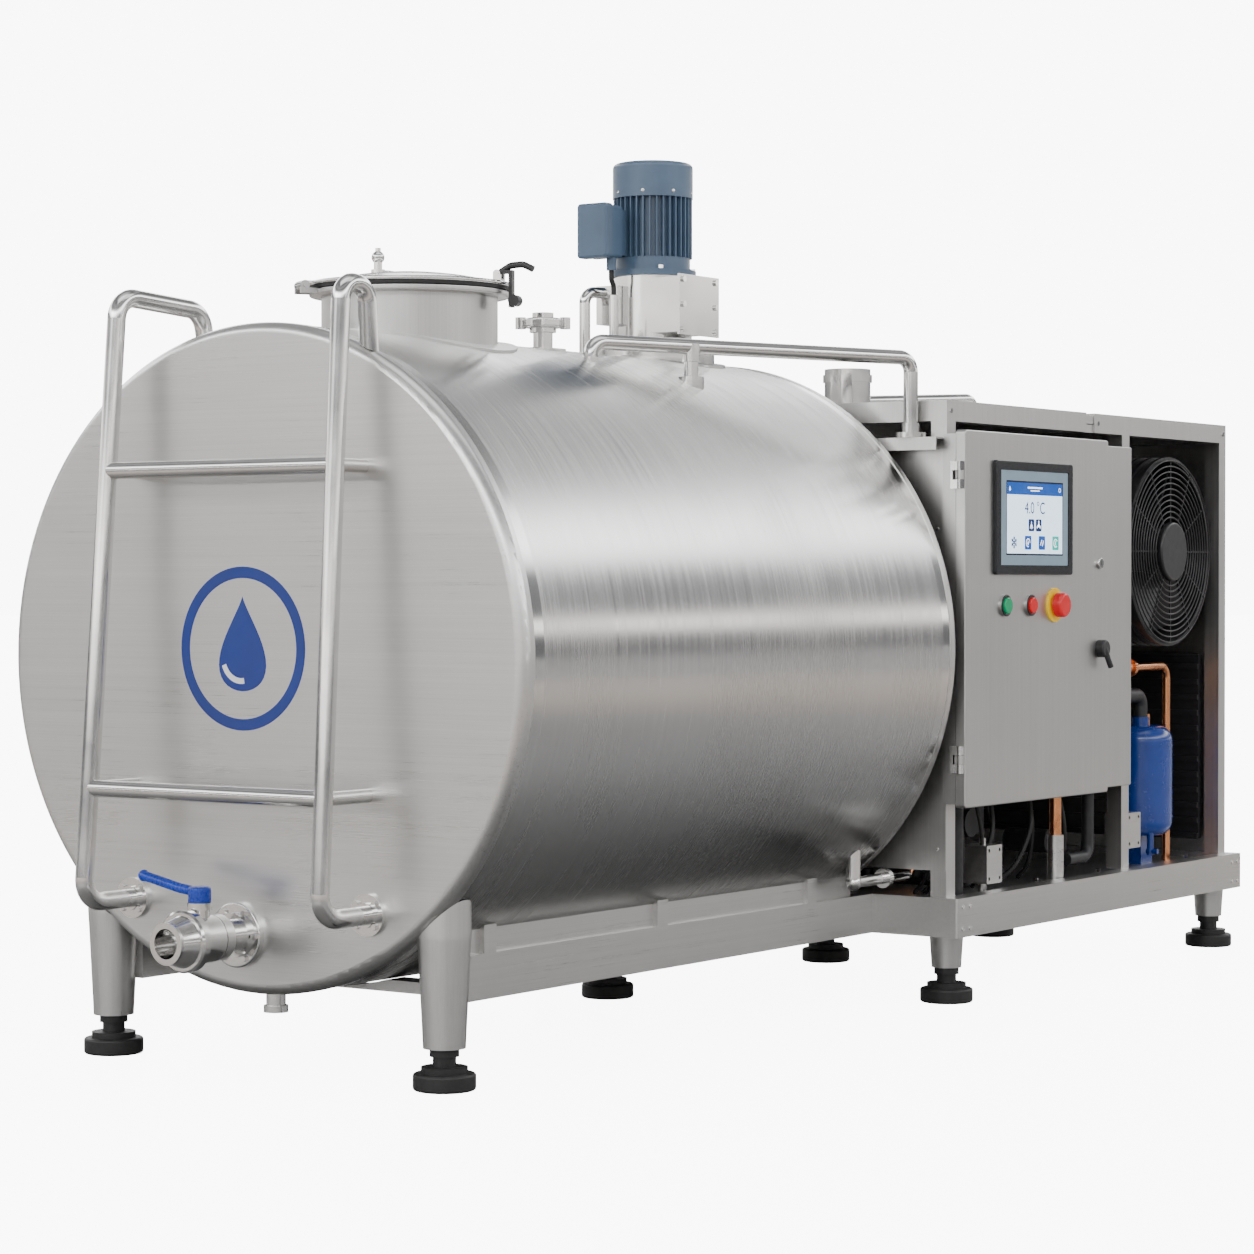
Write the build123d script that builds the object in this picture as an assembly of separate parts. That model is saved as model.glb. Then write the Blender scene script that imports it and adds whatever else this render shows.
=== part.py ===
from build123d import *
import math
import os

# Bulk milk tank with its cooling machine. Millimetres, +Z up, +X along the tank from the outlet
# end to the machine end, -Y the control side. Everything is built with X = 0 at the front head
# and Y = 0 on the tank axis, then moved by ORIGIN so that the part stands centred on its box.

# ---- general
CONTACT_GAP = 0.4          # between surfaces of bodies that move past each other
SHAFT_CLEARANCE = 0.05     # radial, round a turning shaft
SHEET = 3.0
WELD = 0.5                 # how far a welded or pressed piece bites into its neighbour

# ---- tank
TANK_RADIUS = 675.0
TANK_LENGTH = 1680.0
GROUND_CLEARANCE = 159.0
AXIS_HEIGHT = TANK_RADIUS + GROUND_CLEARANCE
HEAD_RIM = 38.0
HEAD_CORNER = 22.0
SHELL_STEP = 1.6           # the barrel sits this much inside the head rims
INSULATION = 62.0
VESSEL_WALL = 3.0
HEAD_SPACE = 66.0
EVAPORATOR_THICK = 8.0
EVAPORATOR_HALF_ANGLE = 62.0
EVAPORATOR_MARGIN = 120.0
VESSEL_RADIUS = TANK_RADIUS - SHELL_STEP - SHEET - INSULATION
VESSEL_START = HEAD_SPACE
VESSEL_END = TANK_LENGTH - HEAD_SPACE
TANK_TOP = AXIS_HEIGHT + TANK_RADIUS

# ---- manhole
MANHOLE_X = 500.0
NECK_RADIUS = 187.5
NECK_TOP = TANK_TOP + 96.0
NECK_FLANGE_RADIUS = NECK_RADIUS + 25.5
NECK_FLANGE_THICK = 13.0
GASKET_THICK = 7.0
LID_RADIUS = NECK_FLANGE_RADIUS + 6.0
LID_RIM_THICK = 9.0
LID_DOME = 24.0
LID_HINGE_ANGLE = 148.0
LID_LATCH_ANGLE = -72.0
LID_PIN_OUT = 20.0
LID_PIN_RADIUS = 5.0
COLLAR_WIDTH = 42.0
COLLAR_THICK = 5.0
LID_OPEN_DEG = 100.0
LATCH_OPEN_DEG = 95.0
LUG_INNER = 16.0
LUG_THICK = 8.0
LUG_RADIUS = 10.0
LID_DOME_INSET = 22.0
LATCH_PIVOT_UP = 16.0
LATCH_PIVOT_IN = 18.0
LATCH_HALF = 9.0
LATCH_PIN_RADIUS = 4.0
LATCH_HUB_RADIUS = 8.0
LATCH_STRAP = 8.0
LATCH_TOE_RADIUS = 12.0
LATCH_GRIP_RADIUS = 7.0
LATCH_GRIP_BEND = 25.0
RELIEF_IN = 30.0           # the relief valve stands this far from the lid's middle, along the tank
RELIEF_ACROSS = 62.0
RELIEF_BOSS_RADIUS = 15.0
RELIEF_STEM_RADIUS = 9.0
RELIEF_BALL_RADIUS = 14.0
RELIEF_TIP_RADIUS = 6.0

# ---- breather
BREATHER_X = 978.0
BREATHER_RADIUS = 22.0
BREATHER_TOP = TANK_TOP + 83.0
BREATHER_WALL = 2.5
BREATHER_NECK_RADIUS = 30.0
BREATHER_CAP_RADIUS = 43.0
BREATHER_CROWN_RADIUS = 24.0
BREATHER_NUT_RADIUS = 12.0
BREATHER_NUT_OUT = 50.0

# ---- agitator drive
AGITATOR_X = TANK_LENGTH - 265.0
MOUNT_RADIUS = 145.0
MOUNT_TOP = TANK_TOP + 39.0
GEARBOX_BASE = MOUNT_TOP + 12.0
GEARBOX_TOP = GEARBOX_BASE + 144.0
GEARBOX_RADIUS = 92.0
GEARBOX_WALL = 10.0
GEAR_CENTRES = 62.0
PINION_RADIUS = 10.0
GEAR_THICK = 16.0
GEARCASE_HALF = 78.0
GEARCASE_REACH = 126.0
STEM_WALL = 5.0
MOUNT_WALL = 6.0
DECK_THICK = 8.0
SEAL_THICK = 14.0
BEARING_RADIUS = 34.0
BEARING_WIDTH = 9.0
LAYSHAFT_RADIUS = 7.0
LAYSHAFT_BOSS_RADIUS = 14.0
OUTPUT_GEAR_Z = GEARBOX_BASE + 28.0
INPUT_GEAR_Z = GEARBOX_TOP - 46.0
SHAFT_TOP = OUTPUT_GEAR_Z + GEAR_THICK + 8.0
COVER_THICK = 6.0          # bolted cover on the gearcase
SIDE_BOSS_OUT = 34.0       # mounting boss on the gearcase, towards the conduit
SIDE_BOSS_Y = (24.0, 84.0)
SHAFT_RADIUS = 15.0
SHAFT_BOTTOM = AXIS_HEIGHT - VESSEL_RADIUS + 94.4
PADDLE_REACH = 180.0
PADDLE_HEIGHT = 110.0
PADDLE_THICK = 4.0
PADDLE_PITCH_DEG = 30.0
MOTOR_FLANGE_RADIUS = 102.0
MOTOR_FLANGE_THICK = 14.0
MOTOR_CORE_RADIUS = 78.0
MOTOR_FIN_RADIUS = 93.0
MOTOR_FIN_COUNT = 36
MOTOR_FIN_THICK = 3.0
MOTOR_BODY_TOP = GEARBOX_TOP + 184.0
MOTOR_TOP = MOTOR_BODY_TOP + 83.0
COWL_RADIUS = 94.5
ROTOR_RADIUS = 45.0
ROTOR_SHAFT_RADIUS = 8.0
MOTOR_FAN_RADIUS = 76.0
MOTOR_FAN_HUB = 20.0
MOTOR_FAN_HEIGHT = 34.0
MOTOR_FAN_LIFT = 14.0
MOTOR_FAN_VANES = 8
MOTOR_FAN_THICK = 3.0
MOTOR_FIN_START = 44.0     # plain foot of the motor body below the fins
COWL_CORNER = 12.0
COWL_HOLE_RADIUS = 8.0
COWL_HOLE_CIRCLE = 44.0
COWL_HOLES = 12
GEAR_RATIO = ((GEAR_CENTRES - PINION_RADIUS) / PINION_RADIUS) ** 2

# ---- terminal box and its cable
TERMINAL_X = AGITATOR_X - 187.0
TERMINAL_LENGTH = 98.0
TERMINAL_Y = 5.0
TERMINAL_WIDTH = 80.0
TERMINAL_BASE = GEARBOX_TOP + 38.0
TERMINAL_HEIGHT = 121.0
CABLE_RADIUS = 6.0
CABLE_X = AGITATOR_X - 129.0
CABLE_Y = 22.0
CONDUIT_RADIUS = 11.0
CONDUIT_TOP = GEARBOX_TOP - 49.0
GLAND_LENGTH = 30.0
GLAND_RADIUS = 11.0
CABLE_BEND = 18.0
CABLE_SHIFT = 10.0         # the gland sits this much nearer the tank's front than the conduit
TERMINAL_LID = 26.0
TERMINAL_LIP = 3.0
TERMINAL_FOOT = 30.0
TERMINAL_WALL = 6.0
RISER_X = AGITATOR_X - 158.0
RISER_Y = 84.0
RISER_RADIUS = 13.0
RISER_BEND = 26.0

# ---- ladder
LADDER_RADIUS = 19.0
LADDER_Y = 15.0
LADDER_FOOT_HALF = TANK_RADIUS * 0.4622
LADDER_TOP_HALF = LADDER_FOOT_HALF - 16.0
LADDER_FOOT_OUT = 150.0
LADDER_TOP_OUT = 62.0
LADDER_FOOT_HEIGHT = AXIS_HEIGHT - TANK_RADIUS * 0.7363
LADDER_TOP_HEIGHT = TANK_TOP + 63.0
LADDER_BEND = 48.0
HANDLE_LONG = 250.0
HANDLE_SHORT = 76.0
RUNG_RADIUS = 17.0
RUNG_HEIGHTS = (AXIS_HEIGHT - TANK_RADIUS * 0.391, AXIS_HEIGHT + TANK_RADIUS * 0.563)
LADDER_FLANGE_RADIUS = 42.0
LADDER_FLANGE_THICK = 9.0

# ---- outlet and its valve
OUTLET_Y = 40.0
OUTLET_HEIGHT = AXIS_HEIGHT - VESSEL_RADIUS + 52.4
OUTLET_BORE = 30.0
OUTLET_WALL = 3.0
WALL_FLANGE_RADIUS = OUTLET_BORE + 36.0
VALVE_START = -84.0
VALVE_END = -150.0
VALVE_BODY_RADIUS = OUTLET_BORE + 18.0
VALVE_CHAMBER = 1.5        # the disc chamber is this much wider than the bore
VALVE_STEM_RADIUS = 7.0
UNION_RADIUS = OUTLET_BORE + 32.0
FERRULE_END = -216.0
LEVER_HEIGHT = OUTLET_HEIGHT + OUTLET_BORE + 64.0
LEVER_LENGTH = 150.0
LEVER_TURN_DEG = 90.0
LEVER_HUB_RADIUS = 23.0
LEVER_GRIP_RADIUS = 10.0
LEVER_END_RADIUS = 12.0
LEVER_BEND = 40.0
BONNET_RADIUS = 20.0
BONNET_RIM_RADIUS = 25.0
UNION_LENGTH = 22.0
WALL_FLANGE_THICK = 14.0
WALL_FLANGE_BOLTS = 6
DRAIN_X = 66.0
DRAIN_RADIUS = 20.0
DRAIN_BOTTOM = GROUND_CLEARANCE - 41.0

# ---- legs and feet
LEG_X = 56.0
LEG_Y = TANK_RADIUS * 0.652
LEG_BOTTOM = 82.0
LEG_TOP = AXIS_HEIGHT - TANK_RADIUS * 0.791
LEG_BOTTOM_RADIUS = 42.0
LEG_TOP_RADIUS = 53.0
FOOT_PAD_RADIUS = 62.0
FOOT_PAD_HEIGHT = 46.0
FOOT_NECK_RADIUS = 23.0
BASE_BOTTOM = GROUND_CLEARANCE - 1.0
BASE_TOP = BASE_BOTTOM + 92.0
CUP_RADIUS = 38.0

# ---- tank rails
RAIL_Y = TANK_RADIUS * 0.6222
RAIL_THICK = 40.0
RAIL_START = 80.0
SADDLE_THICK = 40.0
SADDLE_INSET = 230.0
SADDLES_X = (SADDLE_INSET, TANK_LENGTH / 2, TANK_LENGTH - SADDLE_INSET)
APRON_THICK = 3.0          # closing strip between a rail and the barrel
APRON_INSET = 12.0

# ---- machine base and housing
MACHINE_GAP = 40.0
MACHINE_START = TANK_LENGTH + MACHINE_GAP
MACHINE_LENGTH = 1580.0
MACHINE_HALF = 650.0
MACHINE_END = MACHINE_START + MACHINE_LENGTH
POST = 42.0
HOUSING_INSET_X = 18.0
HOUSING_HALF = 610.0
HOUSING_TOP = 1410.0
BEAM_HEIGHT = 46.0
ROOF_GAP = 46.0
CORNER_FOOT_INSET = 66.0
HOUSING_START = MACHINE_START + HOUSING_INSET_X
HOUSING_END = MACHINE_END - HOUSING_INSET_X

# ---- wash pipe along the top, and the ledge that it stands on
LEDGE_HEIGHT = HOUSING_TOP - 85.0
LEDGE_REACH = 34.0
LEDGE_LIP = 30.0
WASH_RADIUS = 17.0
WASH_START = (TANK_LENGTH - 820.0, -215.0)
WASH_END = (MACHINE_START - 8.0, -528.0)
WASH_HEIGHT = max(TANK_TOP + 3.0, LEDGE_HEIGHT + 100.0)
WASH_BEND = 40.0
WASH_LEG_SHARE = 0.30
WASH_WALL = 2.0
WASH_FOOT_THICK = 12.0
WASH_LEG_SINK = 30.0       # the leg starts this far inside the shell and is cut to it

# ---- control cabinet
CABINET_X = MACHINE_START - 4.0
CABINET_WIDTH = 735.0
CABINET_BASE = 462.0
CABINET_HEIGHT = 879.0
CABINET_DEPTH = 210.0
DOOR_FACE_Y = -672.0
DOOR_THICK = 25.0
DOOR_SKIN = 3.0
DOOR_GAP = 3.0
DOOR_HINGE_OUT = 9.0
DOOR_OPEN_DEG = 110.0
HINGE_RADIUS = 8.0
HINGE_PIN_RADIUS = 3.0
HINGE_KNUCKLE = 32.0
DOOR_HINGE_HEIGHTS = (575.0, 1236.0)
CABINET_FRAME_INSET = 80.0
CABINET_END = CABINET_X + CABINET_WIDTH
CABINET_EDGE = 12.0        # the box stays this far inside the door's outline
DOOR_AXIS_X = CABINET_X - DOOR_HINGE_OUT
DOOR_AXIS_Y = DOOR_FACE_Y + 8.0
DOOR_CORNER = 8.0
DOOR_EDGE_ROUND = 3.0
SWITCH_ROWS = ((86.0, 70.0), (110.0, 84.0), (60.0, 48.0))
SWITCH_COUNT = 6
SWITCH_PITCH = 230.0
SPINE_FEET = ((TANK_LENGTH - 280.0, 120.0), (CABINET_END - 121.0, 80.0), (MACHINE_END - 180.0, 20.0))
ROOF_SPLIT_X = CABINET_END + 1.0

# ---- things on the cabinet door
SCREEN_X = CABINET_X + 329.0
SCREEN_WIDTH = 392.0
SCREEN_Z = 1140.0
SCREEN_HEIGHT = 270.0
SCREEN_DEPTH = 40.0
SCREEN_PROUD = 9.0
BEZEL_WIDTH = 24.0
BEZEL_HEIGHT = 22.0
SCREEN_BODY_INSET = 16.0
CUT_OUT_INSET = 14.0
BUTTON_ROW_Z = 932.0
BUTTON_XS = (CABINET_X + 189.0, CABINET_X + 316.0)
BUTTON_RADIUS = 19.0
BUTTON_RING = 26.0
BUTTON_TRAVEL = 5.0
STOP_X = CABINET_X + 442.0
STOP_RADIUS = 30.0
STOP_RING = 42.0
STOP_TRAVEL = 6.0
STOP_STEM_RADIUS = STOP_RADIUS / 2
STOP_HEAD = 34.0           # how far the mushroom head stands out
RING_THICK = 5.0
COLLAR_BACK = 30.0         # collars behind the door that guide buttons and stop
SOCKET_DEPTH = 24.0
LATCH_X = CABINET_END - 51.0
DOOR_LATCH_Z = 822.0
CAM_LOCK_Z = 1034.0
LATCH_TURN_DEG = 90.0
LATCH_BARREL = 9.0
LATCH_BOSS_RADIUS = 22.0
LATCH_BOSS_DEPTH = 22.0
LATCH_LEVER_RADIUS = 7.0
CAM_FACE_RADIUS = 14.0
CAM_START = 8.0            # cams turn between these depths behind the door's face
CAM_END = 12.0

# ---- narrow side door
SIDE_DOOR_X = CABINET_END + 23.0
SIDE_DOOR_WIDTH = 172.0
SIDE_DOOR_BASE = 469.0
SIDE_DOOR_HEIGHT = 862.0
SIDE_DOOR_Y = -640.0
SIDE_DOOR_THICK = 18.0
SIDE_DOOR_OPEN_DEG = 88.0
MID_POST_X = SIDE_DOOR_X + SIDE_DOOR_WIDTH + 6.0
SIDE_AXIS_X = SIDE_DOOR_X - DOOR_HINGE_OUT
SIDE_AXIS_Y = SIDE_DOOR_Y + 4.0
SIDE_HINGE_HEIGHTS = (620.0, 1180.0)

# ---- condenser, fan and shroud
FAN_X = HOUSING_END - 296.0
FAN_Z = 1068.0
GUARD_Y = -588.0
GUARD_RINGS = 11
GUARD_WIRE = 2.2
GUARD_SPOKES = 12
GUARD_HUB = 78.0
GUARD_CAP = 12.0
GUARD_BAR = 3.4
SHROUD_RADIUS = 250.0
GUARD_RADIUS = SHROUD_RADIUS - 7.0
SHROUD_DEPTH = 230.0
SHROUD_WALL = 4.0
SHROUD_RIBS = 7
FAN_BLADE_RADIUS = SHROUD_RADIUS - 24.0
FAN_HUB_RADIUS = 62.0
FAN_BLADES = 6
FAN_SHAFT_RADIUS = 7.0
FAN_BLADE_THICK = 3.0
FAN_BLADE_WIDTH = 120.0
FAN_BLADE_TILT_DEG = 28.0
FAN_SETBACK = 36.0
FAN_HUB_LENGTH = 60.0
FAN_MOTOR_RADIUS = 52.0
FAN_MOTOR_START = 130.0    # distance behind the shroud's mouth
FAN_ARM_RADIUS = 6.0
SHROUD_STEP = 8.0          # the duct's skin lies this much inside its ribs
RIB_DEPTH = 10.0
RIB_WIDTH = 9.0
COIL_CORE_INSET = 12.0
SLAT_DEPTH = 9.0
COIL_DEPTH = 70.0
COIL_FINS = 28
SIDE_COIL_THICK = 24.0
SIDE_COIL_INSET = 52.0
SIDE_COIL_SLATS = 12

# ---- refrigeration pieces
RECEIVER_X = FAN_X - 1.0
RECEIVER_Y = -500.0
RECEIVER_RADIUS = 86.0
RECEIVER_BASE = BASE_TOP + 62.0
RECEIVER_TOP = RECEIVER_BASE + 294.0
COMPRESSOR_AT = (CABINET_END - 221.0, -250.0)
COMPRESSOR_RADIUS = 112.0
COMPRESSOR_HEIGHT = 400.0
COMPRESSOR_CORNER = 40.0
COMPRESSOR_PLATE = (130.0, 120.0)
COMPRESSOR_MOUNTS = (100.0, 90.0)
MOUNT_PAD_RADIUS = 18.0
PIPE_RADIUS = 11.0
TRAY_THICK = 6.0
TRAY_TOP = BASE_TOP - 12.0
UPRIGHT_AT = (CABINET_END - 91.0, -572.0)
UPRIGHT_RADIUS = 15.0
REAR_PIPE_RADIUS = 13.0
PIPE_TOP = BASE_TOP + 512.0
THIN_PIPE_RADIUS = 9.0
GAUGE_PIPE_RADIUS = 8.0
HOSE_BEND = 28.0
SUCTION_HEIGHT = RECEIVER_TOP + 80.0
SUCTION_RADIUS = 20.0
HOSE_UNDER = CABINET_BASE + 12.0
LOW_HOSE_X = CABINET_END - 516.0
LOW_HOSE_RADIUS = 15.0
UPRIGHT_HOSES = ((155.0, -560.0, 17.0), (100.0, -540.0, 9.0))
MUFFLERS = ((19.0, 330.0, 30.0, -500.0, -380.0), (-391.0, 400.0, 34.0, -500.0, -420.0))
SOLENOID_HALF = (38.0, 33.0, 46.0)
SOLENOID_HOLES = (26.0, 34.0, 4.5)
BOX_LENGTH = 108.0
BOX_WIDTH = 90.0
BOX_HEIGHT = 166.0
SLEEVE_TOP = TRAY_TOP + 118.0
VENT_RADIUS = 56.0
VENT_BORE = 52.0
VENT_HEIGHT = 94.0
VENT_AT = (HOUSING_START + 190.0, -226.0)
REAR_PIPE_Y = -RAIL_Y - 50.0
REAR_PIPE_Z = BASE_TOP + 42.0

# ---- fasteners
BOLT_RADIUS = 5.0
BOLT_HEAD = 6.0
TRAY_BOLTS_X = (MACHINE_START + 110.0, CABINET_END - 171.0, CABINET_END + 169.0, MACHINE_END - 160.0)

X_MIN = FERRULE_END
X_MAX = MACHINE_END
Y_MIN = DOOR_FACE_Y - STOP_HEAD
Y_MAX = TANK_RADIUS
ORIGIN = ((X_MIN + X_MAX) / 2, (Y_MIN + Y_MAX) / 2, 0.0)

NODES = {}


def block(x0, x1, y0, y1, z0, z1):
    size = (x1 - x0, y1 - y0, z1 - z0)
    return Pos((x0 + x1) / 2, (y0 + y1) / 2, (z0 + z1) / 2) * Box(*size)


def box_tube(x0, x1, y0, y1, z0, z1, wall=SHEET):
    """A closed box section with its walls all round."""
    inner = block(x0 + wall, x1 - wall, y0 + wall, y1 - wall, z0 + wall, z1 - wall)
    return block(x0, x1, y0, y1, z0, z1) - inner


def rod(axis, centre, radius, start, end):
    """A cylinder along an axis; centre gives the two other coordinates in order."""
    middle = (start + end) / 2
    solid = Cylinder(radius, abs(end - start))
    if axis == "X":
        return Pos(middle, centre[0], centre[1]) * Rot(0, 90, 0) * solid
    if axis == "Y":
        return Pos(centre[0], middle, centre[1]) * Rot(90, 0, 0) * solid
    return Pos(centre[0], centre[1], middle) * solid


def ring(axis, centre, outer, inner, start, end):
    return rod(axis, centre, outer, start, end) - rod(axis, centre, inner, start - 1, end + 1)


def bent_rod(points, radius, bend):
    """A round bar along straight runs joined by arcs."""
    path = FilletPolyline(*points, radius=bend) if len(points) > 2 else Line(*points)
    section = Plane(origin=path @ 0, z_dir=path % 0) * Circle(radius)
    return sweep(section, path=path)


def bent_tube(points, radius, wall, bend):
    path = FilletPolyline(*points, radius=bend) if len(points) > 2 else Line(*points)
    section = Plane(origin=path @ 0, z_dir=path % 0) * (Circle(radius) - Circle(radius - wall))
    return sweep(section, path=path)


def hexagon_bolt(axis, centre, start, end):
    middle = (start + end) / 2
    solid = extrude(RegularPolygon(BOLT_RADIUS * 1.3, 6), abs(end - start) / 2, both=True)
    if axis == "X":
        return Pos(middle, centre[0], centre[1]) * Rot(0, 90, 0) * solid
    if axis == "Y":
        return Pos(centre[0], middle, centre[1]) * Rot(90, 0, 0) * solid
    return Pos(centre[0], centre[1], middle) * solid


def on_axis(radius, start, end):
    """A cylinder on the tank axis."""
    return rod("X", (0.0, AXIS_HEIGHT), radius, start, end)


def shell_height(y, radius=TANK_RADIUS - SHELL_STEP):
    return AXIS_HEIGHT + math.sqrt(radius ** 2 - y ** 2)


def shell_collar(x, y, outer, inner):
    """A formed collar that hugs the shell round an upright neck."""
    radius = TANK_RADIUS - SHELL_STEP
    band = on_axis(radius + COLLAR_THICK, x - outer, x + outer) - on_axis(radius, x - outer, x + outer)
    return band & ring("Z", (x, y), outer, inner, AXIS_HEIGHT, TANK_TOP + 60.0)


def polar(centre, radius, angle):
    turn = math.radians(angle)
    return (centre[0] + radius * math.cos(turn), centre[1] + radius * math.sin(turn))


def keep(name, *shapes):
    solids = []
    for shape in shapes:
        solids.extend(shape.solids())
    NODES[name] = solids


# ------------------------------------------------------------------ tank
def upright_openings(grow=0.0):
    """Everything that passes up through the top of the tank wall."""
    low = AXIS_HEIGHT
    high = TANK_TOP + 40.0
    holes = [rod("Z", (MANHOLE_X, 0.0), NECK_RADIUS + grow, low, high)]
    holes.append(rod("Z", (BREATHER_X, 0.0), BREATHER_RADIUS + grow, low, high))
    holes.append(rod("Z", (AGITATOR_X, 0.0), GEARBOX_RADIUS + grow, low, high))
    return holes


def outlet_opening():
    return rod("X", (OUTLET_Y, OUTLET_HEIGHT), OUTLET_BORE + OUTLET_WALL, -10.0, VESSEL_START + 40.0)


def head(front):
    full = on_axis(TANK_RADIUS, 0.0, HEAD_RIM)
    edge = full.edges().filter_by(GeomType.CIRCLE).sort_by(Axis.X)[0]
    full = fillet(edge, HEAD_CORNER)
    hollow = on_axis(TANK_RADIUS - SHELL_STEP - SHEET, SHEET, HEAD_RIM + 1)
    hollow = fillet(hollow.edges().filter_by(GeomType.CIRCLE).sort_by(Axis.X)[0], HEAD_CORNER - SHEET)
    step = on_axis(TANK_RADIUS + 1, HEAD_RIM - 1.5, HEAD_RIM) - on_axis(TANK_RADIUS - 1.0, 0, HEAD_RIM)
    cup = full - hollow - step
    if front:
        return cup - outlet_opening()
    return Pos(TANK_LENGTH, 0, 0) * (Rot(0, 0, 180) * cup)


def outer_shell():
    radius = TANK_RADIUS - SHELL_STEP
    barrel = on_axis(radius, HEAD_RIM, TANK_LENGTH - HEAD_RIM)
    barrel -= on_axis(radius - SHEET, 0, TANK_LENGTH)
    for hole in upright_openings():
        barrel -= hole
    return barrel - rod("Z", (DRAIN_X, 0.0), DRAIN_RADIUS, 0, AXIS_HEIGHT)


def evaporator():
    start = VESSEL_START + EVAPORATOR_MARGIN
    end = VESSEL_END - EVAPORATOR_MARGIN
    sleeve = on_axis(VESSEL_RADIUS + EVAPORATOR_THICK, start, end) - on_axis(VESSEL_RADIUS, start, end)
    reach = TANK_RADIUS * 2
    slope = math.tan(math.radians(EVAPORATOR_HALF_ANGLE)) * reach
    corners = [(0, AXIS_HEIGHT), (-slope, AXIS_HEIGHT - reach), (slope, AXIS_HEIGHT - reach)]
    wedge = extrude(Plane.YZ * make_face(Polyline(*corners, close=True)), TANK_LENGTH)
    return sleeve & wedge


def insulation():
    inner_wall = TANK_RADIUS - SHELL_STEP - SHEET
    foam = on_axis(inner_wall, HEAD_RIM, TANK_LENGTH - HEAD_RIM)
    cap = on_axis(inner_wall - HEAD_CORNER, SHEET, HEAD_RIM)
    foam = foam + cap + on_axis(inner_wall - HEAD_CORNER, TANK_LENGTH - HEAD_RIM, TANK_LENGTH - SHEET)
    foam -= on_axis(VESSEL_RADIUS, VESSEL_START, VESSEL_END)
    foam -= evaporator()
    for hole in upright_openings():
        foam -= hole
    return foam - outlet_opening()


def inner_vessel():
    vessel = on_axis(VESSEL_RADIUS, VESSEL_START, VESSEL_END)
    inside = on_axis(VESSEL_RADIUS - VESSEL_WALL, VESSEL_START + VESSEL_WALL, VESSEL_END - VESSEL_WALL)
    vessel -= inside
    for hole in upright_openings():
        vessel -= hole
    return vessel - outlet_opening()


def vessel_inside():
    return on_axis(VESSEL_RADIUS - VESSEL_WALL, VESSEL_START, VESSEL_END)


def build_tank():
    keep("front_head", head(True))
    keep("rear_head", head(False))
    keep("outer_shell", outer_shell())
    keep("insulation", insulation())
    keep("inner_vessel", inner_vessel())
    keep("evaporator_plate", evaporator())


# ------------------------------------------------------------------ manhole
def manhole_neck():
    centre = (MANHOLE_X, 0.0)
    neck = ring("Z", centre, NECK_RADIUS, NECK_RADIUS - SHEET, AXIS_HEIGHT, NECK_TOP)
    neck -= vessel_inside()
    flange = ring("Z", centre, NECK_FLANGE_RADIUS, NECK_RADIUS - SHEET, NECK_TOP - NECK_FLANGE_THICK,
                  NECK_TOP)
    flange = fillet(flange.edges().filter_by(GeomType.CIRCLE).sort_by(SortBy.RADIUS)[-2:], 4.0)
    collar = shell_collar(MANHOLE_X, 0.0, NECK_RADIUS + COLLAR_WIDTH, NECK_RADIUS - WELD)
    body = neck + flange + collar
    lug = lid_frame() * hinge_lugs()
    return body + lug


def lid_frame():
    """Local frame at the lid hinge pin: X points outwards, Y along the pin."""
    spot = polar((MANHOLE_X, 0.0), LID_RADIUS + LID_PIN_OUT, LID_HINGE_ANGLE)
    return Pos(spot[0], spot[1], NECK_TOP + LID_PIN_RADIUS) * Rot(0, 0, LID_HINGE_ANGLE)


def hinge_lugs():
    """Two lugs on the neck flange and the pin pressed through them."""
    reach = LID_RADIUS + LID_PIN_OUT - NECK_FLANGE_RADIUS + 12.0
    lugs = rod("Y", (0, 0), LID_PIN_RADIUS, -LUG_INNER - LUG_THICK - 3, LUG_INNER + LUG_THICK + 3)
    drop = LID_PIN_RADIUS + NECK_FLANGE_THICK
    for side in (-1, 1):
        near = side * LUG_INNER
        far = side * (LUG_INNER + LUG_THICK)
        boss = rod("Y", (0, 0), LUG_RADIUS, near, far)
        arm = block(-reach, 0, min(near, far), max(near, far), -drop + 1, -LUG_RADIUS + 4)
        post = block(-LUG_RADIUS + 1, LUG_RADIUS - 1, min(near, far), max(near, far), -drop + 1, 0)
        lugs = lugs + boss + arm + post
    return lugs


def lid_knuckle():
    """The lid's own knuckle between the lugs, with its arm up on to the rim."""
    half = LUG_INNER - CONTACT_GAP
    lift = GASKET_THICK - LID_PIN_RADIUS + CONTACT_GAP
    boss = rod("Y", (0, 0), LUG_RADIUS, -half, half)
    arm = block(-LID_PIN_OUT - 14.0, 0, -half, half, lift + 2.0, LUG_RADIUS)
    bore = rod("Y", (0, 0), LID_PIN_RADIUS + SHAFT_CLEARANCE, -half - 1, half + 1)
    return (boss + arm) - bore


def manhole_lid():
    """A pressed lid: flat rim, raised dome and a hollow underside."""
    base = NECK_TOP + GASKET_THICK + CONTACT_GAP
    centre = (MANHOLE_X, 0.0)
    rim = rod("Z", centre, LID_RADIUS, base, base + LID_RIM_THICK)
    rim = fillet(rim.edges().filter_by(GeomType.CIRCLE), LID_RIM_THICK * 0.42)
    chord = LID_RADIUS - LID_DOME_INSET
    radius = (chord ** 2 + LID_DOME ** 2) / (2 * LID_DOME)
    middle = base + LID_RIM_THICK + LID_DOME - radius
    dome = Pos(MANHOLE_X, 0, middle) * Sphere(radius)
    cap = dome & rod("Z", centre, chord, base + LID_RIM_THICK / 2, base + LID_RIM_THICK + LID_DOME + 1)
    inside = Pos(MANHOLE_X, 0, middle) * Sphere(radius - SHEET)
    pocket = inside & rod("Z", centre, chord - SHEET, base - 1, base + LID_RIM_THICK + LID_DOME)
    knuckle = lid_frame() * lid_knuckle()
    return (rim + cap + knuckle) - pocket


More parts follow.
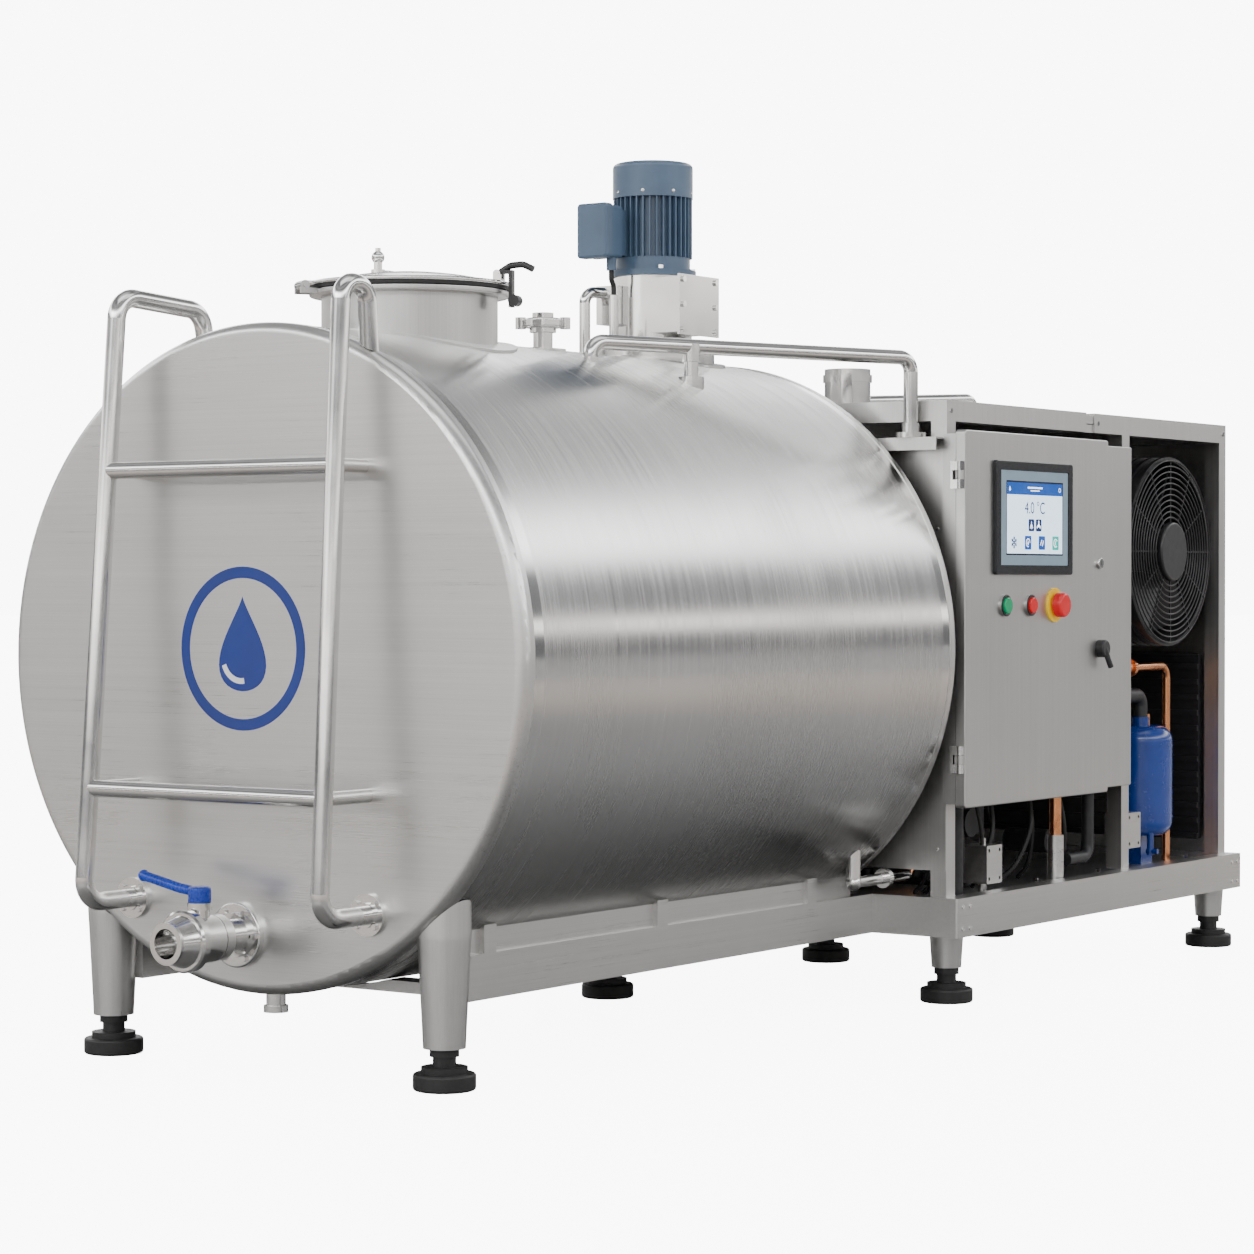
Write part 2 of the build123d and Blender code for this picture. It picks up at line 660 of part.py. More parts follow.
def lid_vent():
    """The small polished relief valve near the middle of the lid."""
    x = MANHOLE_X - RELIEF_IN
    y = RELIEF_ACROSS
    top = NECK_TOP + GASKET_THICK + LID_RIM_THICK + LID_DOME
    vent = rod("Z", (x, y), RELIEF_BOSS_RADIUS, top - 4.0, top + 8.0)
    vent += rod("Z", (x, y), RELIEF_STEM_RADIUS, top + 8.0, top + 26.0)
    vent += Pos(x, y, top + 34.0) * Sphere(RELIEF_BALL_RADIUS)
    vent += rod("Z", (x, y), RELIEF_TIP_RADIUS, top + 44.0, top + 54.0)
    return vent + block(x + 4.0, x + 26.0, y - 22.0, y - 8.0, top - 4.0, top + 6.0)


def latch_frame():
    spot = polar((MANHOLE_X, 0.0), LID_RADIUS - LATCH_PIVOT_IN, LID_LATCH_ANGLE)
    height = NECK_TOP + GASKET_THICK + CONTACT_GAP + LID_RIM_THICK + LATCH_PIVOT_UP
    return Pos(spot[0], spot[1], height) * Rot(0, 0, LID_LATCH_ANGLE)


def latch_fork():
    """Fork welded to the lid rim that carries the latch pin."""
    fork = rod("Y", (0, 0), LATCH_PIN_RADIUS, -LATCH_HALF - 9, LATCH_HALF + 9)
    for side in (-1, 1):
        near = side * (LATCH_HALF + CONTACT_GAP)
        far = side * (LATCH_HALF + LATCH_STRAP)
        fork += rod("Y", (0, 0), LATCH_HUB_RADIUS, near, far)
        fork += block(-LATCH_HUB_RADIUS, LATCH_HUB_RADIUS, min(near, far), max(near, far),
                      -LATCH_PIVOT_UP - 1, 0)
    return fork


def manhole_latch():
    """Over-centre lever: hub on the pin, a strap down past the rim and a curved grip."""
    out = LATCH_PIVOT_IN + 6.0
    drop = LATCH_PIVOT_UP + LID_RIM_THICK + GASKET_THICK + NECK_FLANGE_THICK
    hub = rod("Y", (0, 0), LATCH_HUB_RADIUS, -LATCH_HALF, LATCH_HALF)
    strap = block(0, out + LATCH_STRAP, -LATCH_HALF, LATCH_HALF, 0, 7)
    tongue = block(out, out + LATCH_STRAP, -LATCH_HALF, LATCH_HALF, -drop - 26, 7)
    toe = rod("Y", (out + 12, -drop - 12), LATCH_TOE_RADIUS, -LATCH_HALF - 5, LATCH_HALF + 5)
    grip_points = [(4, 0, 4), (26, 0, 17), (54, 0, 19), (76, 0, 8)]
    grip = bent_rod(grip_points, LATCH_GRIP_RADIUS, LATCH_GRIP_BEND)
    body = hub + strap + tongue + toe + grip
    return body - rod("Y", (0, 0), LATCH_PIN_RADIUS + SHAFT_CLEARANCE, -LATCH_HALF - 1, LATCH_HALF + 1)


def build_manhole():
    centre = (MANHOLE_X, 0.0)
    keep("manhole_neck", manhole_neck())
    keep("manhole_gasket", ring("Z", centre, NECK_FLANGE_RADIUS + 2, NECK_RADIUS - 4,
                                NECK_TOP, NECK_TOP + GASKET_THICK))
    lid = manhole_lid()
    keep("manhole_lid", lid + latch_frame() * latch_fork(), lid_vent() - lid)
    keep("manhole_latch", latch_frame() * manhole_latch())


# ------------------------------------------------------------------ breather
def breather():
    centre = (BREATHER_X, 0.0)
    tube = ring("Z", centre, BREATHER_RADIUS, BREATHER_RADIUS - BREATHER_WALL, AXIS_HEIGHT,
                BREATHER_TOP - 38.0)
    tube -= vessel_inside()
    cap = rod("Z", centre, BREATHER_NECK_RADIUS, BREATHER_TOP - 44.0, BREATHER_TOP - 28.0)
    cap += rod("Z", centre, BREATHER_CAP_RADIUS, BREATHER_TOP - 34.0, BREATHER_TOP - 12.0)
    cap = fillet(cap.edges().filter_by(GeomType.CIRCLE).sort_by(SortBy.RADIUS)[-2:], 5.0)
    cap += rod("Z", centre, BREATHER_CROWN_RADIUS, BREATHER_TOP - 14.0, BREATHER_TOP)
    for angle in (-55.0, 125.0):
        spot = polar(centre, BREATHER_NUT_OUT, angle)
        cap += rod("Z", spot, BREATHER_NUT_RADIUS, BREATHER_TOP - 36.0, BREATHER_TOP - 10.0)
    collar = shell_collar(BREATHER_X, 0.0, BREATHER_RADIUS + 30.0, BREATHER_RADIUS - WELD)
    return tube + cap + collar


# ------------------------------------------------------------------ agitator drive
def agitator_mount():
    centre = (AGITATOR_X, 0.0)
    stem = ring("Z", centre, GEARBOX_RADIUS, GEARBOX_RADIUS - STEM_WALL, AXIS_HEIGHT, GEARBOX_BASE)
    stem -= vessel_inside()
    skirt = ring("Z", centre, MOUNT_RADIUS, MOUNT_RADIUS - MOUNT_WALL, TANK_TOP - 40.0, MOUNT_TOP)
    skirt -= on_axis(TANK_RADIUS - SHELL_STEP, 0, TANK_LENGTH)
    deck = ring("Z", centre, MOUNT_RADIUS, GEARBOX_RADIUS - STEM_WALL, MOUNT_TOP - DECK_THICK, MOUNT_TOP)
    seal = ring("Z", centre, GEARBOX_RADIUS - STEM_WALL + 1.0, SHAFT_RADIUS + CONTACT_GAP,
                GEARBOX_BASE - SEAL_THICK, GEARBOX_BASE)
    collar = shell_collar(AGITATOR_X, 0.0, MOUNT_RADIUS + 26.0, MOUNT_RADIUS - WELD)
    return stem + skirt + deck + seal + collar


def gearcase_block(inset):
    return block(AGITATOR_X - GEARCASE_HALF + inset, AGITATOR_X + GEARCASE_HALF - inset,
                 -GEARCASE_REACH + inset, 0, GEARBOX_BASE + 8 + inset, GEARBOX_TOP - 8 - inset)


def gearbox_housing():
    centre = (AGITATOR_X, 0.0)
    case = rod("Z", centre, GEARBOX_RADIUS, GEARBOX_BASE, GEARBOX_TOP) + gearcase_block(0)
    cavity_low = GEARBOX_BASE + GEARBOX_WALL
    cavity = rod("Z", centre, GEARBOX_RADIUS - GEARBOX_WALL, cavity_low, GEARBOX_TOP - GEARBOX_WALL)
    case -= cavity
    case -= gearcase_block(GEARBOX_WALL / 2)
    case -= rod("Z", centre, BEARING_RADIUS, GEARBOX_BASE - 1, GEARBOX_TOP + 1)
    layshaft_at = (AGITATOR_X, -GEAR_CENTRES)
    case += rod("Z", layshaft_at, LAYSHAFT_BOSS_RADIUS, GEARBOX_BASE + 10, GEARBOX_BASE + 22)
    case += rod("Z", layshaft_at, LAYSHAFT_BOSS_RADIUS, GEARBOX_TOP - 24, GEARBOX_TOP - 12)
    case -= rod("Z", layshaft_at, LAYSHAFT_RADIUS + SHAFT_CLEARANCE, GEARBOX_BASE + 14, GEARBOX_TOP - 14)
    plate = block(AGITATOR_X - GEARCASE_HALF - 5, AGITATOR_X + GEARCASE_HALF + 5,
                  -GEARCASE_REACH - COVER_THICK, -GEARCASE_REACH, GEARBOX_BASE + 2, GEARBOX_TOP - 2)
    side = block(AGITATOR_X - GEARCASE_HALF - SIDE_BOSS_OUT, AGITATOR_X - GEARCASE_HALF + 14, *SIDE_BOSS_Y,
                 GEARBOX_BASE + 30, GEARBOX_TOP - 24)
    return case + plate + (side - cavity - rod("Z", centre, GEARBOX_RADIUS - 2, 0, GEARBOX_TOP))


def agitator_bearings():
    centre = (AGITATOR_X, 0.0)
    lower = ring("Z", centre, BEARING_RADIUS, SHAFT_RADIUS + SHAFT_CLEARANCE,
                 GEARBOX_BASE + 0.5, GEARBOX_BASE + 0.5 + BEARING_WIDTH)
    upper = ring("Z", centre, BEARING_RADIUS, ROTOR_SHAFT_RADIUS + SHAFT_CLEARANCE,
                 GEARBOX_TOP - BEARING_WIDTH, GEARBOX_TOP)
    return lower, upper


def agitator_shaft():
    centre = (AGITATOR_X, 0.0)
    shaft = rod("Z", centre, SHAFT_RADIUS, SHAFT_BOTTOM, SHAFT_TOP)
    wheel_radius = GEAR_CENTRES - PINION_RADIUS - CONTACT_GAP
    shaft += rod("Z", centre, wheel_radius, OUTPUT_GEAR_Z, OUTPUT_GEAR_Z + GEAR_THICK)
    paddles = []
    for level in (SHAFT_BOTTOM + PADDLE_HEIGHT / 2 + 10.0, AXIS_HEIGHT):
        shaft += rod("Z", centre, SHAFT_RADIUS + 12.0, level - 34.0, level + 34.0)
        for side in (-1, 1):
            blade = block(0, PADDLE_REACH, -PADDLE_THICK / 2, PADDLE_THICK / 2,
                          -PADDLE_HEIGHT / 2, PADDLE_HEIGHT / 2)
            tilt = Rot(PADDLE_PITCH_DEG * side, 0, 0)
            turn = 0 if side > 0 else 180
            blade = Pos(AGITATOR_X, 0, level) * Rot(0, 0, turn) * tilt * blade
            shaft += blade - rod("Z", centre, SHAFT_RADIUS, SHAFT_BOTTOM, SHAFT_TOP)
    return shaft


def layshaft():
    centre = (AGITATOR_X, -GEAR_CENTRES)
    bar = rod("Z", centre, LAYSHAFT_RADIUS, GEARBOX_BASE + 14.5, GEARBOX_TOP - 14.5)
    wheel_radius = GEAR_CENTRES - PINION_RADIUS - CONTACT_GAP
    bar += rod("Z", centre, PINION_RADIUS, OUTPUT_GEAR_Z, OUTPUT_GEAR_Z + GEAR_THICK)
    return bar + rod("Z", centre, wheel_radius, INPUT_GEAR_Z, INPUT_GEAR_Z + GEAR_THICK)


def motor_rotor():
    centre = (AGITATOR_X, 0.0)
    rotor = rod("Z", centre, ROTOR_SHAFT_RADIUS, INPUT_GEAR_Z, MOTOR_TOP - 26.0)
    rotor += rod("Z", centre, PINION_RADIUS, INPUT_GEAR_Z, INPUT_GEAR_Z + GEAR_THICK)
    rotor += rod("Z", centre, ROTOR_RADIUS, GEARBOX_TOP + 34.0, MOTOR_BODY_TOP - 24.0)
    low = MOTOR_BODY_TOP + MOTOR_FAN_LIFT
    high = low + MOTOR_FAN_HEIGHT
    rotor += rod("Z", centre, MOTOR_FAN_HUB, low, high)
    for index in range(MOTOR_FAN_VANES):
        vane = block(MOTOR_FAN_HUB - 4, MOTOR_FAN_RADIUS, -MOTOR_FAN_THICK / 2, MOTOR_FAN_THICK / 2, low,
                     high)
        rotor += Pos(AGITATOR_X, 0, 0) * Rot(0, 0, index * 360 / MOTOR_FAN_VANES) * vane
    return rotor


def motor_housing():
    centre = (AGITATOR_X, 0.0)
    body = rod("Z", centre, MOTOR_CORE_RADIUS, GEARBOX_TOP, MOTOR_BODY_TOP)
    for index in range(MOTOR_FIN_COUNT):
        fin = block(MOTOR_CORE_RADIUS - 3, MOTOR_FIN_RADIUS, -MOTOR_FIN_THICK / 2, MOTOR_FIN_THICK / 2,
                    GEARBOX_TOP + MOTOR_FIN_START, MOTOR_BODY_TOP)
        body += Pos(AGITATOR_X, 0, 0) * Rot(0, 0, index * 360 / MOTOR_FIN_COUNT) * fin
    body += rod("Z", centre, MOTOR_FIN_RADIUS - 5, GEARBOX_TOP, GEARBOX_TOP + MOTOR_FIN_START)
    body += rod("Z", centre, MOTOR_FLANGE_RADIUS, GEARBOX_TOP, GEARBOX_TOP + MOTOR_FLANGE_THICK)
    body -= rod("Z", centre, ROTOR_RADIUS + CONTACT_GAP, GEARBOX_TOP + 30.0, MOTOR_BODY_TOP - 20.0)
    return body - rod("Z", centre, ROTOR_SHAFT_RADIUS + SHAFT_CLEARANCE, GEARBOX_TOP - 1, MOTOR_BODY_TOP + 1)


def motor_cowl():
    centre = (AGITATOR_X, 0.0)
    cowl = rod("Z", centre, COWL_RADIUS, MOTOR_BODY_TOP, MOTOR_TOP)
    cowl = fillet(cowl.edges().filter_by(GeomType.CIRCLE).sort_by(Axis.Z)[-1], COWL_CORNER)
    cowl -= rod("Z", centre, COWL_RADIUS - SHEET, MOTOR_BODY_TOP - 1, MOTOR_TOP - SHEET - 8)
    for index in range(COWL_HOLES):
        spot = polar(centre, COWL_HOLE_CIRCLE, index * 360 / COWL_HOLES)
        cowl -= rod("Z", spot, COWL_HOLE_RADIUS, MOTOR_TOP - 20, MOTOR_TOP + 1)
    foot = ring("Z", centre, COWL_RADIUS, MOTOR_CORE_RADIUS - 4, MOTOR_BODY_TOP, MOTOR_BODY_TOP + 4)
    return cowl + foot


def terminal_box():
    x1 = TERMINAL_X + TERMINAL_LENGTH
    y1 = TERMINAL_Y + TERMINAL_WIDTH
    top = TERMINAL_BASE + TERMINAL_HEIGHT
    case = block(TERMINAL_X + TERMINAL_LID, x1 - TERMINAL_FOOT, TERMINAL_Y, y1, TERMINAL_BASE, top)
    case = fillet(case.edges().filter_by(Axis.X), 7.0)
    saddle = block(x1 - TERMINAL_FOOT, AGITATOR_X - 60, TERMINAL_Y + 8, y1 - 8, TERMINAL_BASE + 8, top - 8)
    saddle -= rod("Z", (AGITATOR_X, 0.0), MOTOR_FIN_RADIUS + CONTACT_GAP, GEARBOX_TOP, MOTOR_TOP)
    lip = TERMINAL_LIP
    lid = block(TERMINAL_X, TERMINAL_X + TERMINAL_LID, TERMINAL_Y - lip, y1 + lip, TERMINAL_BASE - lip,
                top + lip)
    lid = fillet(lid.edges().filter_by(Axis.X), 9.0)
    lid = chamfer(lid.faces().sort_by(Axis.X)[0].edges(), 5.0)
    gland = rod("Z", (CABLE_X - CABLE_SHIFT, CABLE_Y), GLAND_RADIUS, TERMINAL_BASE - GLAND_LENGTH,
                TERMINAL_BASE + 1)
    wall = TERMINAL_WALL
    cavity = block(TERMINAL_X + 10, x1 - TERMINAL_FOOT - wall, TERMINAL_Y + wall, y1 - wall,
                   TERMINAL_BASE + wall, top - wall)
    return (case + saddle + lid + gland) - cavity


def cable_points():
    top = TERMINAL_BASE - GLAND_LENGTH
    return [(CABLE_X - CABLE_SHIFT, CABLE_Y, top), (CABLE_X - CABLE_SHIFT, CABLE_Y, top - 22),
            (CABLE_X, CABLE_Y, CONDUIT_TOP + 22), (CABLE_X, CABLE_Y, CONDUIT_TOP)]


def motor_cable():
    return bent_rod(cable_points(), CABLE_RADIUS, CABLE_BEND)


def drive_conduits():
    """The cable conduit and the riser tube that stand beside the gearbox."""
    conduit = rod("Z", (CABLE_X, CABLE_Y), CONDUIT_RADIUS, shell_height(CABLE_Y), CONDUIT_TOP)
    x = RISER_X
    y = RISER_Y
    riser = [(x, y, shell_height(y) - 4), (x, y, GEARBOX_TOP - 40.0), (x + 52, y - 20, GEARBOX_TOP - 40.0)]
    pipe = bent_rod(riser, RISER_RADIUS, RISER_BEND)
    cut = on_axis(TANK_RADIUS - SHELL_STEP, 0, TANK_LENGTH)
    cut += block(AGITATOR_X - GEARCASE_HALF - SIDE_BOSS_OUT, AGITATOR_X, *SIDE_BOSS_Y, GEARBOX_BASE,
                 GEARBOX_TOP)
    return conduit - cut, pipe - cut


def build_agitator():
    keep("breather", breather())
    keep("agitator_mount", agitator_mount(), *drive_conduits())
    keep("gearbox_housing", gearbox_housing())
    keep("agitator_bearings", *agitator_bearings())
    keep("agitator_shaft", agitator_shaft())
    keep("layshaft", layshaft())
    keep("motor_rotor", motor_rotor())
    keep("motor_housing", motor_housing())
    keep("motor_cowl", motor_cowl())
    keep("terminal_box", terminal_box())
    keep("motor_cable", motor_cable())


# ------------------------------------------------------------------ wash pipe
def wash_pipe():
    start_shell = shell_height(WASH_START[1])
    dx = WASH_END[0] - WASH_START[0]
    dy = WASH_END[1] - WASH_START[1]
    points = [(WASH_START[0], WASH_START[1], start_shell - 12), (WASH_START[0], WASH_START[1], WASH_HEIGHT),
              (WASH_END[0], WASH_END[1], WASH_HEIGHT), (WASH_END[0], WASH_END[1], LEDGE_HEIGHT + 12)]
    pipe = bent_tube(points, WASH_RADIUS, WASH_WALL, min(WASH_BEND, (WASH_HEIGHT - start_shell) * 0.85))
    leg_x = WASH_START[0] + dx * WASH_LEG_SHARE
    leg_y = WASH_START[1] + dy * WASH_LEG_SHARE
    leg_at = (leg_x, leg_y)
    leg_low = shell_height(leg_y) - WASH_LEG_SINK
    leg = rod("Z", leg_at, WASH_RADIUS - 1, leg_low, WASH_HEIGHT)
    leg += rod("Z", leg_at, WASH_RADIUS + 12, leg_low, shell_height(leg_y) + WASH_FOOT_THICK)
    sleeve = rod("Z", leg_at, WASH_RADIUS + 3, WASH_HEIGHT - 34, WASH_HEIGHT + 6)
    flange = rod("Z", WASH_END, WASH_RADIUS + 20, LEDGE_HEIGHT, LEDGE_HEIGHT + WASH_FOOT_THICK)
    flange += rod("Z", WASH_END, WASH_RADIUS + 5, LEDGE_HEIGHT + WASH_FOOT_THICK, LEDGE_HEIGHT + 34)
    return (pipe + leg + sleeve + flange) - on_axis(TANK_RADIUS - SHELL_STEP, 0, TANK_LENGTH)


# ------------------------------------------------------------------ ladder
def rail_points(side):
    """Centre line of one rail: flange, foot bend, slope up, then over the top on to the shell."""
    foot_y = LADDER_Y + side * LADDER_FOOT_HALF
    top_y = LADDER_Y + side * LADDER_TOP_HALF
    reach = HANDLE_LONG if side > 0 else HANDLE_SHORT
    points = [(-LADDER_FLANGE_THICK, foot_y, LADDER_FOOT_HEIGHT)]
    points.append((-LADDER_FOOT_OUT, foot_y, LADDER_FOOT_HEIGHT))
    points.append((-LADDER_TOP_OUT, top_y, LADDER_TOP_HEIGHT))
    points.append((-LADDER_TOP_OUT + reach, top_y, LADDER_TOP_HEIGHT - reach * 0.06))
    points.append((-LADDER_TOP_OUT + reach + reach * 0.12, top_y, shell_height(top_y) - 14))
    return points


def rail_at(side, height):
    share = (height - LADDER_FOOT_HEIGHT) / (LADDER_TOP_HEIGHT - LADDER_FOOT_HEIGHT)
    x = -LADDER_FOOT_OUT + share * (LADDER_FOOT_OUT - LADDER_TOP_OUT)
    half = LADDER_FOOT_HALF + share * (LADDER_TOP_HALF - LADDER_FOOT_HALF)
    return x, LADDER_Y + side * half


def ladder_rail(side):
    points = rail_points(side)
    bend = LADDER_BEND if side > 0 else HANDLE_SHORT * 0.48
    rail = bent_rod(points, LADDER_RADIUS, [LADDER_BEND, bend, bend])
    foot = points[0]
    flange = rod("X", (foot[1], foot[2]), LADDER_FLANGE_RADIUS, -LADDER_FLANGE_THICK, 0)
    flange += rod("X", (foot[1], foot[2]), LADDER_RADIUS + 6, -LADDER_FLANGE_THICK - 8, 0)
    bolts = []
    for index in range(4):
        spot = polar((foot[1], foot[2]), LADDER_FLANGE_RADIUS - 11, 45 + index * 90)
        bolts.append(hexagon_bolt("X", spot, -LADDER_FLANGE_THICK - BOLT_HEAD, -LADDER_FLANGE_THICK))
    for height in RUNG_HEIGHTS:
        x, y = rail_at(side, height)
        rail += rod("X", (y, height), RUNG_RADIUS - 3, x, 0)
    rail += flange
    rail -= on_axis(TANK_RADIUS, 0, TANK_LENGTH)
    for bolt in bolts:
        rail += bolt
    return rail


def ladder_rungs():
    rungs = []
    for height in RUNG_HEIGHTS:
        left_x, left_y = rail_at(-1, height)
        right_x, right_y = rail_at(1, height)
        rung = bent_rod([(left_x, left_y, height), (right_x, right_y, height)], RUNG_RADIUS, 1.0)
        for side in (-1, 1):
            rung -= NODES["ladder_rails"][0 if side < 0 else 1]
        rungs.append(max(rung.solids(), key=lambda solid: solid.volume))
    return rungs


# ------------------------------------------------------------------ outlet
def outlet_pipe():
    centre = (OUTLET_Y, OUTLET_HEIGHT)
    outer = OUTLET_BORE + OUTLET_WALL
    pipe = rod("X", centre, outer, VALVE_START, VESSEL_START + VESSEL_WALL)
    flange = rod("X", centre, WALL_FLANGE_RADIUS, -WALL_FLANGE_THICK, 0)
    flange = fillet(flange.edges().filter_by(GeomType.CIRCLE).sort_by(Axis.X)[0], 4.0)
    hub = rod("X", centre, outer + 12, -24.0, -13.0)
    union = rod("X", centre, outer + 14, VALVE_START, VALVE_START + UNION_LENGTH)
    bolts = None
    for index in range(WALL_FLANGE_BOLTS):
        spot = polar(centre, WALL_FLANGE_RADIUS - 13, index * 360 / WALL_FLANGE_BOLTS)
        bolt = hexagon_bolt("X", spot, -WALL_FLANGE_THICK - BOLT_HEAD, 1.0 - WALL_FLANGE_THICK)
        bolts = bolt if bolts is None else bolts + bolt
    body = pipe + flange + hub + union + bolts
    return body - rod("X", centre, OUTLET_BORE, VALVE_START - 1, VESSEL_START + 20)


def drain_stub():
    centre = (DRAIN_X, 0.0)
    low = AXIS_HEIGHT - TANK_RADIUS + SHELL_STEP
    stub = rod("Z", centre, DRAIN_RADIUS, DRAIN_BOTTOM + 12, low + 20)
    stub -= on_axis(TANK_RADIUS - SHELL_STEP - SHEET, 0, TANK_LENGTH)
    return stub + rod("Z", centre, DRAIN_RADIUS + 5, DRAIN_BOTTOM, DRAIN_BOTTOM + 14)


def valve_body():
    centre = (OUTLET_Y, OUTLET_HEIGHT)
    body = rod("X", centre, VALVE_BODY_RADIUS, VALVE_END, VALVE_START)
    body = fillet(body.edges().filter_by(GeomType.CIRCLE), 6.0)
    collar = rod("X", centre, UNION_RADIUS, VALVE_END - UNION_LENGTH, VALVE_END + 2)
    collar = chamfer(collar.edges().filter_by(GeomType.CIRCLE), 4.0)
    ferrule_length = VALVE_END - UNION_LENGTH - FERRULE_END
    cone = Cone(OUTLET_BORE + 22, OUTLET_BORE + 8, ferrule_length)
    cone = Pos(FERRULE_END + ferrule_length / 2, OUTLET_Y, OUTLET_HEIGHT) * Rot(0, -90, 0) * cone
    lip = rod("X", centre, OUTLET_BORE + 12, FERRULE_END, FERRULE_END + 8)
    middle = (VALVE_START + VALVE_END) / 2
    bonnet = rod("Z", (middle, OUTLET_Y), BONNET_RADIUS, OUTLET_HEIGHT + 20, LEVER_HEIGHT - 26)
    bonnet += rod("Z", (middle, OUTLET_Y), BONNET_RIM_RADIUS, LEVER_HEIGHT - 34, LEVER_HEIGHT - 20)
    body = body + collar + cone + lip + bonnet
    body -= rod("X", centre, OUTLET_BORE, FERRULE_END - 1, VALVE_END)
    body -= rod("X", centre, OUTLET_BORE + VALVE_CHAMBER, VALVE_END - 1, VALVE_START + 1)
    stem = rod("Z", (middle, OUTLET_Y), VALVE_STEM_RADIUS + SHAFT_CLEARANCE,
               OUTLET_HEIGHT - OUTLET_BORE - 8, LEVER_HEIGHT)
    return body - stem


def valve_disc():
    """Closed disc with its stem; it stands across the bore when the lever points sideways."""
    middle = (VALVE_START + VALVE_END) / 2
    disc = rod("X", (OUTLET_Y, OUTLET_HEIGHT), OUTLET_BORE + VALVE_CHAMBER - CONTACT_GAP, middle - 3,
               middle + 3)
    stem = rod("Z", (middle, OUTLET_Y), VALVE_STEM_RADIUS, OUTLET_HEIGHT - OUTLET_BORE - 6, LEVER_HEIGHT + 4)
    return disc + stem


def valve_lever():
    middle = (VALVE_START + VALVE_END) / 2
    hub = rod("Z", (middle, OUTLET_Y), LEVER_HUB_RADIUS, LEVER_HEIGHT - 19.5, LEVER_HEIGHT + 12)
    hub = fillet(hub.edges().filter_by(GeomType.CIRCLE).sort_by(Axis.Z)[-1], 6.0)
    points = [(middle, OUTLET_Y, LEVER_HEIGHT), (middle, OUTLET_Y + LEVER_LENGTH * 0.35, LEVER_HEIGHT + 6),
              (middle, OUTLET_Y + LEVER_LENGTH, LEVER_HEIGHT + 26)]
    grip = bent_rod(points, LEVER_GRIP_RADIUS, LEVER_BEND)
    grip += Pos(*points[-1]) * Sphere(LEVER_END_RADIUS)
    lever = hub + grip
    return lever - rod("Z", (middle, OUTLET_Y), VALVE_STEM_RADIUS, LEVER_HEIGHT - 30, LEVER_HEIGHT + 4)


def build_front():
    keep("wash_pipe", wash_pipe())
    keep("ladder_rails", ladder_rail(-1), ladder_rail(1))
    keep("ladder_rungs", *ladder_rungs())
    keep("outlet_pipe", outlet_pipe(), drain_stub())
    keep("valve_body", valve_body())
    keep("valve_disc", valve_disc())
    keep("valve_lever", valve_lever())


# ------------------------------------------------------------------ legs, rails, feet
def foot_places():
    low = CORNER_FOOT_INSET
    xs = (MACHINE_START + low, MACHINE_END - low)
    corner = MACHINE_HALF - low
    machine = [(x, y) for x in xs for y in (-corner, corner)]
    return machine


def levelling_foot(x, y, top):
    """Rubber pad, neck and collar; the stud inside reaches up into its cup."""
    pad = rod("Z", (x, y), FOOT_PAD_RADIUS, 0, FOOT_PAD_HEIGHT * 0.74)
    pad = fillet(pad.edges().filter_by(GeomType.CIRCLE), 6.0)
    crown = rod("Z", (x, y), FOOT_PAD_RADIUS * 0.74, FOOT_PAD_HEIGHT * 0.7, FOOT_PAD_HEIGHT)
    collar = rod("Z", (x, y), FOOT_NECK_RADIUS + 6, top - 16, top)
    neck = rod("Z", (x, y), FOOT_NECK_RADIUS, FOOT_PAD_HEIGHT - 1, top - 15)
    return pad + crown + neck + collar


def leg(x, y):
    cone = Pos(x, y, (LEG_BOTTOM + LEG_TOP) / 2) * Cone(LEG_BOTTOM_RADIUS, LEG_TOP_RADIUS,
                                                        LEG_TOP - LEG_BOTTOM)
    cone += rod("Z", (x, y), LEG_TOP_RADIUS, LEG_TOP - 2, LEG_TOP + 170)
    return cone - on_axis(TANK_RADIUS, 0, TANK_LENGTH)


def short_cup(x, y):
    height = BASE_BOTTOM - LEG_BOTTOM
    return Pos(x, y, LEG_BOTTOM + height / 2) * Cone(CUP_RADIUS - 3, CUP_RADIUS + 2, height)


def tank_rails():
    rails = []
    for side in (-1, 1):
        inner = side * (RAIL_Y - RAIL_THICK)
        outer = side * RAIL_Y
        rail = box_tube(RAIL_START, MACHINE_START, min(inner, outer), max(inner, outer), BASE_BOTTOM,
                        BASE_TOP)
        rails.append(rail)
    cross_y = RAIL_Y - RAIL_THICK
    for x in (SADDLES_X[0], SPINE_FEET[0][0]):
        rails.append(block(x - 30, x + 30, -cross_y, cross_y, BASE_BOTTOM, BASE_BOTTOM + 24)
                     - on_axis(TANK_RADIUS + CONTACT_GAP, 0, TANK_LENGTH))
    trimmed = []
    tank = on_axis(TANK_RADIUS, 0, TANK_LENGTH)
    legs = leg(LEG_X, LEG_Y) + leg(LEG_X, -LEG_Y)
    for rail in rails:
        trimmed.append(rail - tank - legs)
    return trimmed


def saddles():
    cradles = []
    half = RAIL_Y - RAIL_THICK
    for x in SADDLES_X:
        top = AXIS_HEIGHT - math.sqrt(TANK_RADIUS ** 2 - half ** 2)
        cradle = block(x - SADDLE_THICK / 2, x + SADDLE_THICK / 2, -RAIL_Y, RAIL_Y, BASE_TOP, top + 30)
        cradle -= on_axis(TANK_RADIUS - SHELL_STEP, 0, TANK_LENGTH)
        cradles.append(cradle)
    return cradles


